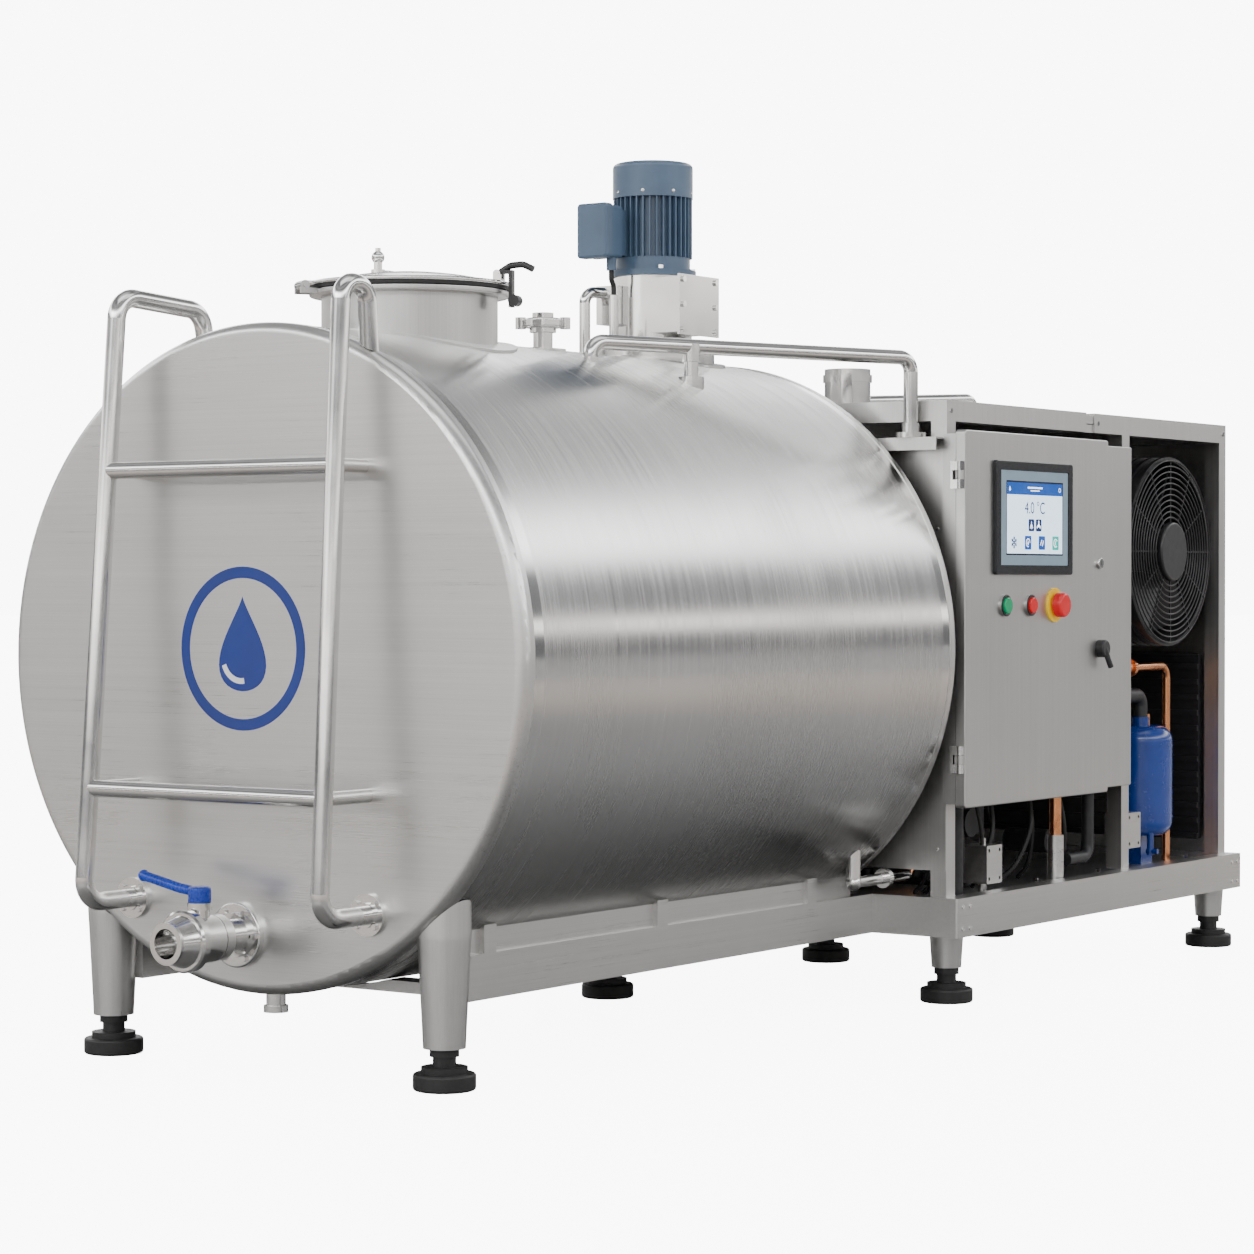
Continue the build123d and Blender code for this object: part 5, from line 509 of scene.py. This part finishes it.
def disc(u, v, radius, steps=32, start=0.0, share=1.0):
    turns = steps if share == 1.0 else steps + 1
    points = []
    for step in range(turns):
        angle = math.radians(start + 360 * share * step / steps)
        points.append((u + radius * math.cos(angle), v + radius * math.sin(angle)))
    return points


def hoop(u, v, outer, inner, steps=40, start=0.0, share=1.0):
    """Outlines of a flat ring or arc as short quads."""
    quads = []
    for step in range(steps):
        a = math.radians(start + 360 * share * step / steps)
        b = math.radians(start + 360 * share * (step + 1) / steps)
        corners = ((inner, a), (outer, a), (outer, b), (inner, b))
        quads.append([(u + radius * math.cos(turn), v + radius * math.sin(turn)) for radius, turn in corners])
    return quads


def drop(u, v, size, steps=24):
    """Outline of a falling drop."""
    points = []
    for step in range(steps):
        angle = 2 * math.pi * step / steps
        lean = math.sin(angle / 2) ** 1.6
        points.append((u + size * 0.95 * math.sin(angle) * lean, v + size * math.cos(angle)))
    return points


def bar(u, v, length, width, degrees):
    """Outline of a bar centred on (u, v)."""
    turn = math.radians(degrees)
    along = Vector((math.cos(turn), math.sin(turn))) * length / 2
    across = Vector((-math.sin(turn), math.cos(turn))) * width / 2
    centre = Vector((u, v))
    return [tuple(centre + along + across), tuple(centre - along + across),
            tuple(centre - along - across), tuple(centre + along - across)]


def smooth_path(points, steps=8):
    """Catmull-Rom points through the given ones."""
    knots = [Vector(point) for point in points]
    knots = [knots[0] * 2 - knots[1]] + knots + [knots[-1] * 2 - knots[-2]]
    path = []
    for index in range(1, len(knots) - 2):
        a, b, c, d = knots[index - 1:index + 3]
        for step in range(steps):
            t = step / steps
            path.append(0.5 * (2 * b + (c - a) * t + (2 * a - 5 * b + 4 * c - d) * t * t
                               + (3 * b - a - 3 * c + d) * t ** 3))
    path.append(knots[-2])
    return path


def tube(bm, points, radius, sides=12):
    """A capped round bar along a smooth path."""
    path = smooth_path(points)
    rings = []
    side = None
    for index, point in enumerate(path):
        ahead = path[min(index + 1, len(path) - 1)] - path[max(index - 1, 0)]
        ahead.normalize()
        if side is None:
            side = ahead.orthogonal().normalized()
        side = (side - ahead * side.dot(ahead)).normalized()
        other = ahead.cross(side)
        ring = []
        for step in range(sides):
            angle = 2 * math.pi * step / sides
            ring.append(bm.verts.new(point + radius * (side * math.cos(angle) + other * math.sin(angle))))
        rings.append(ring)
    for first, second in zip(rings, rings[1:]):
        for step in range(sides):
            after = (step + 1) % sides
            bm.faces.new((first[step], first[after], second[after], second[step]))
    bm.faces.new(list(reversed(rings[0])))
    bm.faces.new(rings[-1])


def cylinder(bm, centre, axis, radius, length, segments=24, bevel=0.0):
    """A short cylinder with its front edge rounded; axis points to the front."""
    turn = Vector(axis).to_track_quat("Z", "Y").to_matrix().to_4x4()
    place = Matrix.Translation(Vector(centre)) @ turn
    made = bmesh.ops.create_cone(bm, cap_ends=True, segments=segments, radius1=radius, radius2=radius,
                                 depth=length, matrix=place)
    if bevel:
        front = Vector(axis)
        ahead = {vert for vert in made["verts"] if (vert.co - Vector(centre)).dot(front) > 0}
        rim = [edge for edge in bm.edges if ahead.issuperset(edge.verts)]
        bmesh.ops.bevel(bm, geom=rim, offset=bevel, offset_type="OFFSET", segments=3, profile=0.5,
                        affect="EDGES", material=-1)


# ------------------------------------------------------------------ studio light
SKY_STRENGTH = 5.0
MIRRORED_SKY = (
    (0.0, (0.05, 0.05, 0.05)), (0.485, (0.045, 0.045, 0.045)), (0.535, (0.04, 0.04, 0.042)),
    (0.548, (0.60, 0.585, 0.57)), (0.560, (0.60, 0.585, 0.57)), (0.572, (0.055, 0.055, 0.057)),
    (0.645, (0.07, 0.071, 0.073)), (0.672, (0.70, 0.70, 0.70)), (0.69, (1.0, 1.0, 1.0)),
    (0.735, (0.70, 0.70, 0.70)), (0.758, (0.20, 0.20, 0.203)), (0.787, (0.09, 0.09, 0.09)),
    (0.82, (0.035, 0.035, 0.035)), (0.86, (0.10, 0.10, 0.102)), (0.93, (0.04, 0.04, 0.04)),
    (1.0, (0.18, 0.18, 0.18)))
# painted reflection: the floor colour that glossy rays see, darker than the floor looks, in rings by distance
PAINTED_FLOOR_REFLECTION = (
    (0.0, (0.10, 0.10, 0.10)), (0.07, (0.13, 0.13, 0.13)), (0.13, (0.26, 0.255, 0.25)),
    (0.20, (0.50, 0.43, 0.37)), (0.34, (0.55, 0.47, 0.40)), (0.46, (0.20, 0.20, 0.20)),
    (1.0, (0.16, 0.16, 0.165)))
MIRROR_REACH = 20.0         # metres of floor that the ramp above covers
AHEAD_FROM, AHEAD_TO = -0.84, -0.66         # X of the sky directions between which the glow fades
AHEAD_GLOW = 1.5            # how much brighter the sky is that the front head mirrors
SOFT_BOXES = (              # name, place, what it lights, size, power
    ("TopBox", (-1.0, -1.5, 5.4), (0.2, 0.2, 0.6), (6.0, 2.0), 46.0),
    ("LeftBox", (-7.0, 1.5, 3.2), (-1.5, 0.0, 0.8), (2.6, 3.2), 26.0),
    ("RightBox", (0.8, -7.0, 3.6), (0.8, -0.3, 0.8), (4.6, 1.4), 24.0),
    ("BackBox", (3.0, 5.5, 4.8), (0.3, 0.3, 1.0), (6.0, 1.6), 40.0),
)


def set_stops(ramp, stops):
    elements = ramp.color_ramp.elements
    while len(elements) < len(stops):
        elements.new(0.5)
    for element, (place, colour) in zip(elements, stops):
        element.position = place
        element.color = (*colour, 1.0)


# ------------------------------------------------------------------ operators
class TANK_OT_stage(bpy.types.Operator):
    """Floor, soft lights, sky and camera"""
    bl_idname = "milk_tank.stage"
    bl_label = "Stage"

    def execute(self, context):
        settings = context.scene.tank_stage
        self.floor(settings)
        self.lights()
        self.sky(context)
        self.camera(context, settings)
        return {"FINISHED"}

    def floor(self, settings):
        bm = bmesh.new()
        bmesh.ops.create_circle(bm, cap_ends=True, radius=settings.floor_radius, segments=96)
        mesh = bpy.data.meshes.new("Floor")
        bm.to_mesh(mesh)
        bm.free()
        floor = bpy.data.objects.new("Floor", mesh)
        bpy.context.scene.collection.objects.link(floor)
        mesh.materials.append(self.floor_material(settings))

    def floor_material(self, settings):
        """Seamless white to the eye; to glossy rays it shows a painted reflection, darker in broad soft
        rings, for the steel to mirror.
        """
        material, tree, shader = start_material("PaleFloor")
        tone = settings.floor_tone
        coordinates = add(tree, "ShaderNodeTexCoord")
        reach = add(tree, "ShaderNodeVectorMath", operation="LENGTH")
        tree.links.new(coordinates.outputs["Object"], reach.inputs[0])
        far = reach.outputs["Value"]
        ramp = add(tree, "ShaderNodeValToRGB")
        tree.links.new(spread(tree, far, 0.0, MIRROR_REACH, 0.0, 1.0), ramp.inputs["Fac"])
        set_stops(ramp, PAINTED_FLOOR_REFLECTION)
        cloud = noise(tree, coordinates.outputs["Object"], 0.7, 2.0, 0.5)
        pale = mix_colour(tree, cloud, (tone, tone, tone), scaled((tone, tone, tone), 0.985))
        path = add(tree, "ShaderNodeLightPath")
        # painted reflection: glossy rays get the dark ring ramp instead of the pale floor colour
        base = mix_colour(tree, path.outputs["Is Glossy Ray"], pale, ramp.outputs["Color"])
        tree.links.new(base, shader.inputs["Base Color"])
        shader.inputs["Roughness"].default_value = 0.24
        shader.inputs["Specular IOR Level"].default_value = 0.18
        tree.links.new(pale, shader.inputs["Emission Color"])
        lift = spread(tree, far, 2.4, 9.0, settings.floor_lift, settings.backdrop)
        tree.links.new(math_node(tree, "MULTIPLY", lift, path.outputs["Is Camera Ray"]),
                       shader.inputs["Emission Strength"])
        return material

    def lights(self):
        for name, place, target, size, power in SOFT_BOXES:
            data = bpy.data.lights.new(name, "AREA")
            data.shape = "RECTANGLE"
            data.size, data.size_y = size
            data.energy = power
            lamp = bpy.data.objects.new(name, data)
            lamp.location = place
            aim = Vector(target) - Vector(place)
            lamp.rotation_euler = aim.to_track_quat("-Z", "Y").to_euler()
            bpy.context.scene.collection.objects.link(lamp)

    def sky(self, context):
        """A white studio; steel mirrors it as bands of light and shade by height."""
        world = bpy.data.worlds.new("Studio")
        context.scene.world = world
        world.use_nodes = True
        tree = world.node_tree
        ground = tree.nodes["Background"]
        coordinates = add(tree, "ShaderNodeTexCoord")
        split = add(tree, "ShaderNodeSeparateXYZ")
        tree.links.new(coordinates.outputs["Generated"], split.inputs[0])
        ramp = add(tree, "ShaderNodeValToRGB")
        tree.links.new(spread(tree, split.outputs["Z"], -1.0, 1.0, 0.0, 1.0), ramp.inputs["Fac"])
        set_stops(ramp, MIRRORED_SKY)
        path = add(tree, "ShaderNodeLightPath")
        white = context.scene.tank_stage.backdrop / SKY_STRENGTH
        shown = mix_colour(tree, path.outputs["Is Camera Ray"], ramp.outputs["Color"],
                           (white, white, white))
        tree.links.new(shown, ground.inputs["Color"])
        ahead = spread(tree, split.outputs["X"], AHEAD_FROM, AHEAD_TO, SKY_STRENGTH * AHEAD_GLOW,
                       SKY_STRENGTH)
        tree.links.new(ahead, ground.inputs["Strength"])

    def camera(self, context, settings):
        data = bpy.data.cameras.new("Camera")
        data.lens = settings.lens
        data.sensor_width = 36.0
        data.clip_end = 400.0
        camera = bpy.data.objects.new("Camera", data)
        camera.location = settings.camera_place
        level = math.cos(settings.pitch)
        aim = Vector((math.cos(settings.yaw) * level, math.sin(settings.yaw) * level,
                      math.sin(settings.pitch)))
        camera.rotation_euler = aim.to_track_quat("-Z", "Y").to_euler()
        context.scene.collection.objects.link(camera)
        context.scene.camera = camera


class TANK_OT_finishes(bpy.types.Operator):
    """Give every CAD node its finish"""
    bl_idname = "milk_tank.finishes"
    bl_label = "Finishes"

    def execute(self, context):
        make_finishes(context.scene.tank_finish)
        for finish, names in NODE_FINISH.items():
            for name in names:
                finish_node(name, FINISH[finish])
        missing = set(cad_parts) - {name for names in NODE_FINISH.values() for name in names}
        if missing:
            raise RuntimeError(f"no finish for {sorted(missing)}")
        return {"FINISHED"}


GLASS_SIDE = 0.0245         # the panel's glass stops this far inside the case, at the sides
GLASS_END = 0.0225          # and at its top and bottom
BORDER_CORNER = 0.003
MASK_INSET = 0.026
MASK_END = 0.024
PAGE_INSET = 0.030
PAGE_END = 0.028
HEADER_HEIGHT = 0.029
READING_DROP = 0.032        # header's lower edge to the middle of the reading
READING_SIZE = 0.040
ICONS_DROP = 0.072
ICONS_RISE = 0.026
STROKE = 0.0028             # line width of the small signs


class TANK_OT_display(bpy.types.Operator):
    """Lit page of the touch panel: reading, header and plain icons"""
    bl_idname = "milk_tank.display"
    bl_label = "Display"

    def execute(self, context):
        low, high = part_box("screen_unit")
        self.middle = (low + high) / 2
        half = (high - low) / 2
        self.front = low.y + 0.002
        width = half.x - GLASS_SIDE
        height = half.z - GLASS_END
        border = rounded(-width, width, -height, height, BORDER_CORNER)
        self.plate("DisplayBorder", border, 0, "screen_border")
        mask = rounded(-width + MASK_INSET + 0.002, width - MASK_INSET, -height + MASK_END,
                       height - MASK_END, 0.002)
        self.plate("DisplayMask", mask, 1, "screen_mask")
        left, right = -width + PAGE_INSET + 0.001, width - PAGE_INSET
        low_v, high_v = -height + PAGE_END, height - PAGE_END
        self.plate("DisplayPage", rounded(left, right, low_v, high_v, 0.001), 2, "screen_page")
        header = high_v - HEADER_HEIGHT
        self.plate("DisplayHeader", rounded(left, right, header, high_v, 0.001), 3, "screen_blue")
        self.header_marks(left, right, (header + high_v) / 2)
        self.reading(context, (left + right) / 2, header - READING_DROP)
        self.middle_icons((left + right) / 2, header - ICONS_DROP)
        self.bottom_icons(left, right, low_v + ICONS_RISE)
        return {"FINISHED"}

    def at(self, u, v, w):
        return Vector((self.middle.x + u, self.front - w, self.middle.z + v))

    def plate(self, name, outline, layer, finish):
        self.plates(name, [outline], layer, finish)

    def plates(self, name, outlines, layer, finish):
        low = layer * LAYER
        flat_piece(name, outlines, self.at, low - LAYER, low + LAYER, FINISH[finish], "cabinet_door",
                   "screen")

    def header_marks(self, left, right, v):
        marks = [drop(left + 0.014, v, 0.006), bar((left + right) / 2, v + 0.003, 0.075, 0.004, 0),
                 bar((left + right) / 2, v - 0.004, 0.045, 0.0025, 0)]
        marks += hoop(right - 0.014, v, 0.0055, 0.0038, 16)
        self.plates("DisplayHeaderMarks", marks, 4, "screen_white")

    def reading(self, context, u, v):
        curve = bpy.data.curves.new("Reading", "FONT")
        curve.body = "4.0 \u00b0C"
        curve.size = READING_SIZE
        curve.extrude = LAYER
        curve.align_x = "CENTER"
        curve.align_y = "CENTER"
        text = bpy.data.objects.new("Reading", curve)
        context.scene.collection.objects.link(text)
        context.view_layer.update()
        mesh = bpy.data.meshes.new_from_object(text)
        bpy.data.objects.remove(text)
        bm = bmesh.new()
        bm.from_mesh(mesh)
        for vert in bm.verts:
            vert.co = self.at(u + vert.co.x, v + vert.co.y, 3 * LAYER + vert.co.z)
        bmesh.ops.recalc_face_normals(bm, faces=bm.faces)
        mesh_piece("DisplayReading", bm, FINISH["screen_navy"], "cabinet_door", smooth=False)

    def middle_icons(self, u, v):
        """Two tiles: one has an arrow, the other has a fan with three blades."""
        size = 0.0145
        arrow_u, fan_u = u - 0.0185, u + 0.0185
        tiles = [rounded(middle - size, middle + size, v - size, v + size, 0.004)
                 for middle in (arrow_u, fan_u)]
        self.plates("DisplayMiddleIcons", tiles, 3, "screen_navy")
        glyphs = [bar(arrow_u, v, 0.018, 0.003, 90), bar(arrow_u - 0.004, v - 0.003, 0.010, STROKE, 60),
                  bar(arrow_u + 0.004, v - 0.003, 0.010, STROKE, -60), disc(fan_u, v, 0.003, 12)]
        for turn in (90, 210, 330):
            way = math.radians(turn)
            blade = bar(fan_u + 0.006 * math.cos(way), v + 0.006 * math.sin(way), 0.010, 0.005, turn)
            glyphs.append(blade)
        self.plates("DisplayMiddleGlyphs", glyphs, 4, "screen_white")

    def bottom_icons(self, left, right, v):
        """A snowflake and three tiles in a row."""
        size = 0.0165
        step = (right - left) / 4
        places = [left + step * (index + 0.5) for index in range(4)]
        flake = []
        for turn in (90, 30, 150):
            flake.append(bar(places[0], v, 0.030, STROKE, turn))
            for end in (-1, 1):
                way = math.radians(turn)
                u = places[0] + end * 0.010 * math.cos(way)
                w = v + end * 0.010 * math.sin(way)
                flake += [bar(u, w, 0.009, 0.002, turn + 60), bar(u, w, 0.009, 0.002, turn - 60)]
        self.plates("DisplaySnowflake", flake, 3, "screen_navy")
        tiles = [rounded(u - size, u + size, v - size, v + size, 0.003) for u in places[1:3]]
        self.plates("DisplayBlueIcons", tiles, 3, "screen_blue")
        drop_u, slash_u, last_u = places[1:]
        teal = rounded(last_u - size, last_u + size, v - size, v + size, 0.003)
        self.plate("DisplayTealIcon", teal, 3, "screen_teal")
        glyphs = [bar(slash_u - 0.004, v + 0.001, 0.015, STROKE, 60),
                  bar(slash_u + 0.005, v - 0.001, 0.015, STROKE, 60)]
        for u, turn in ((drop_u, 0.0), (last_u, 30.0)):
            glyphs += hoop(u, v, 0.0105, 0.0080, 20, turn, 0.8)
        glyphs.append(drop(drop_u, v, 0.005))
        glyphs.append(bar(last_u, v, 0.010, 0.0026, 90))
        self.plates("DisplayBottomGlyphs", glyphs, 4, "screen_white")


EMBLEM_RING = 0.86          # inner edge of the ring, as a share of its radius
EMBLEM_DROP = 0.58          # half the height of the drop, as a share of the ring's radius
EMBLEM_SIDE, EMBLEM_RISE = 0.03, 0.02       # how far it sits from the middle of the head
FILM = (-0.0002, 0.0004)    # the painted film starts just inside the steel
SHINE_FILM = (0.0003, 0.0007)


class TANK_OT_emblem(bpy.types.Operator):
    """A plain drop in a ring on the front head"""
    bl_idname = "milk_tank.emblem"
    bl_label = "Emblem"

    def execute(self, context):
        low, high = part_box("front_head")
        size = context.scene.tank_finish.emblem_size
        middle = Vector((low.x, (low.y + high.y) / 2 + EMBLEM_SIDE, (low.z + high.z) / 2 + EMBLEM_RISE))

        def at(u, v, w):
            return Vector((middle.x - w, middle.y - u, middle.z + v))

        ring = hoop(0, 0, size, size * EMBLEM_RING, 72)
        flat_piece("EmblemRing", ring, at, *FILM, FINISH["emblem_blue"], "tank", "lever_blue")
        fall = drop(0, size * 0.06, size * EMBLEM_DROP, 40)
        flat_piece("EmblemDrop", [fall], at, *FILM, FINISH["emblem_blue"], "tank", "lever_blue")
        shine = hoop(-size * 0.02, -size * 0.10, size * 0.33, size * 0.26, 16, 200.0, 0.22)
        flat_piece("EmblemShine", shine, at, *SHINE_FILM, FINISH["emblem_white"], "tank", "switchgear")
        return {"FINISHED"}


DECK_DEPTH = 0.010          # the bay's deck lies this far under the top of the base ring
BAY_DROPS = (               # along the base, in from its near side, radius, sway
    (0.072, 0.120, 0.004, 0.05), (0.088, 0.135, 0.005, 0.02), (0.185, 0.110, 0.006, 0.04),
    (0.200, 0.130, 0.004, -0.03), (0.262, 0.100, 0.005, 0.05), (0.350, 0.105, 0.006, -0.04),
    (0.375, 0.135, 0.004, 0.06), (0.560, 0.110, 0.006, -0.05), (0.585, 0.130, 0.005, 0.03),
    (0.690, 0.100, 0.006, 0.05))
FAN_CABLE_RADIUS = 0.0045


class TANK_OT_wiring(bpy.types.Operator):
    """Thin cables in the open bays of the machine"""
    bl_idname = "milk_tank.wiring"
    bl_label = "Wiring"

    def execute(self, context):
        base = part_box("base_frame")
        deck = base[1].z - DECK_DEPTH
        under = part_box("cabinet_body")[0].z
        bm = bmesh.new()
        for along, inward, radius, sway in BAY_DROPS:
            x = base[0].x + along
            y = base[0].y + inward
            points = [(x, y, under), (x + sway * 0.3, y - 0.012, deck + 0.14),
                      (x + sway, y + 0.01, deck + 0.05), (x + sway * 1.6, y + 0.05, deck + radius)]
            tube(bm, points, radius)
        mesh_piece("BayCables", bm, FINISH["rubber"], "tank")
        self.fan_cable()
        return {"FINISHED"}

    def fan_cable(self):
        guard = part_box("fan_guard")
        fan = (guard[0] + guard[1]) / 2
        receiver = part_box("receiver")
        bm = bmesh.new()
        left = guard[0].x + 0.03
        y = guard[0].y + 0.005
        points = [(left - 0.055, y + 0.02, guard[1].z + 0.03), (left - 0.052, y + 0.012, fan.z + 0.1),
                  (left - 0.048, y + 0.012, fan.z - 0.12), (left - 0.03, y + 0.02, guard[0].z - 0.01),
                  (left - 0.02, y + 0.03, receiver[1].z + 0.12)]
        tube(bm, points, FAN_CABLE_RADIUS)
        mesh_piece("FanCable", bm, FINISH["rubber"], "tank")


SCREW_RADIUS = 0.0042
RIVET_RADIUS = 0.004
COLLAR_DEPTH = 0.003
COLLAR_SETBACK = 0.0065     # the collar's front lies this far behind the button's face
COLLAR_INNER, COLLAR_OUTER = 0.0012, 0.0067     # its edges, measured out from the button


class TANK_OT_screws(bpy.types.Operator):
    """Screws of the terminal lid and the cowl, rivets of the cover, and collars of the push buttons"""
    bl_idname = "milk_tank.screws"
    bl_label = "Screws"

    def execute(self, context):
        self.terminal_lid()
        self.cowl()
        self.cover_rivets()
        self.button_collars()
        return {"FINISHED"}

    def terminal_lid(self):
        low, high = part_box("terminal_box")
        bm = bmesh.new()
        for y in (low.y + 0.012, high.y - 0.012):
            for z in (low.z + 0.042, high.z - 0.012):
                cylinder(bm, (low.x + 0.0035, y, z), (-1, 0, 0), SCREW_RADIUS, 0.005, 16, 0.001)
        mesh_piece("TerminalScrews", bm, FINISH["chrome"], "tank")

    def cowl(self):
        low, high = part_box("motor_cowl")
        middle = (low + high) / 2
        radius = (high.x - low.x) / 2
        bm = bmesh.new()
        for turn in (200, 245, 290, 20, 65, 110, 155, 335):
            way = math.radians(turn)
            out = Vector((math.cos(way), math.sin(way), 0))
            spot = Vector((middle.x, middle.y, low.z + 0.012)) + out * (radius - 0.0006)
            cylinder(bm, spot, out, SCREW_RADIUS, 0.003, 16, 0.0008)
        mesh_piece("CowlScrews", bm, FINISH["chrome"], "tank")

    def cover_rivets(self):
        low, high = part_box("front_cover")
        bm = bmesh.new()
        for y in (low.y + 0.022, high.y - 0.022):
            for z in (low.z + 0.05, low.z + 0.30, low.z + 0.55, low.z + 0.80):
                cylinder(bm, (high.x - 0.0028, y, z), (-1, 0, 0), RIVET_RADIUS, 0.003, 14, 0.0008)
        mesh_piece("CoverRivets", bm, FINISH["chrome"], "tank")

    def button_collars(self):
        bm = bmesh.new()
        for node in ("start_button", "stop_button"):
            low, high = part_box(node)
            middle = (low + high) / 2
            radius = (high.x - low.x) / 2
            front = Vector((middle.x, low.y + COLLAR_SETBACK, middle.z))
            collar(bm, front, radius + COLLAR_INNER, radius + COLLAR_OUTER, COLLAR_DEPTH)
        mesh_piece("ButtonCollars", bm, FINISH["black_plastic"], "cabinet_door")


def collar(bm, centre, inner, outer, depth, steps=40):
    """A flat ring about the Y axis, its front at the centre's Y."""
    rings = []
    for radius, y in ((inner, 0.0), (outer, 0.0), (outer, depth), (inner, depth)):
        ring = []
        for step in range(steps):
            angle = 2 * math.pi * step / steps
            out = Vector((radius * math.cos(angle), y, radius * math.sin(angle)))
            ring.append(bm.verts.new(centre + out))
        rings.append(ring)
    for index in range(4):
        first, second = rings[index], rings[(index + 1) % 4]
        for step in range(steps):
            after = (step + 1) % steps
            bm.faces.new((first[step], first[after], second[after], second[step]))
    bmesh.ops.recalc_face_normals(bm, faces=bm.faces)


CLASSES = [TankStageSettings, TankFinishSettings, TANK_OT_stage, TANK_OT_finishes, TANK_OT_display,
           TANK_OT_emblem, TANK_OT_wiring, TANK_OT_screws]


class TANK_PT_panel(bpy.types.Panel):
    bl_idname = "TANK_PT_panel"
    bl_label = "Milk Tank"
    bl_space_type = "VIEW_3D"
    bl_region_type = "UI"
    bl_category = "Milk Tank"

    def draw(self, context):
        for operator in operators():
            self.layout.operator(operator.bl_idname)


def operators():
    return [kind for kind in CLASSES if issubclass(kind, bpy.types.Operator)]


def register():
    for kind in CLASSES + [TANK_PT_panel]:
        bpy.utils.register_class(kind)
    bpy.types.Scene.tank_stage = PointerProperty(type=TankStageSettings)
    bpy.types.Scene.tank_finish = PointerProperty(type=TankFinishSettings)


def unregister():
    del bpy.types.Scene.tank_stage
    del bpy.types.Scene.tank_finish
    for kind in reversed(CLASSES + [TANK_PT_panel]):
        bpy.utils.unregister_class(kind)


def main():
    register()
    for operator in operators():
        group, name = operator.bl_idname.split(".")
        getattr(getattr(bpy.ops, group), name)()


if __name__ == "__main__":
    main()
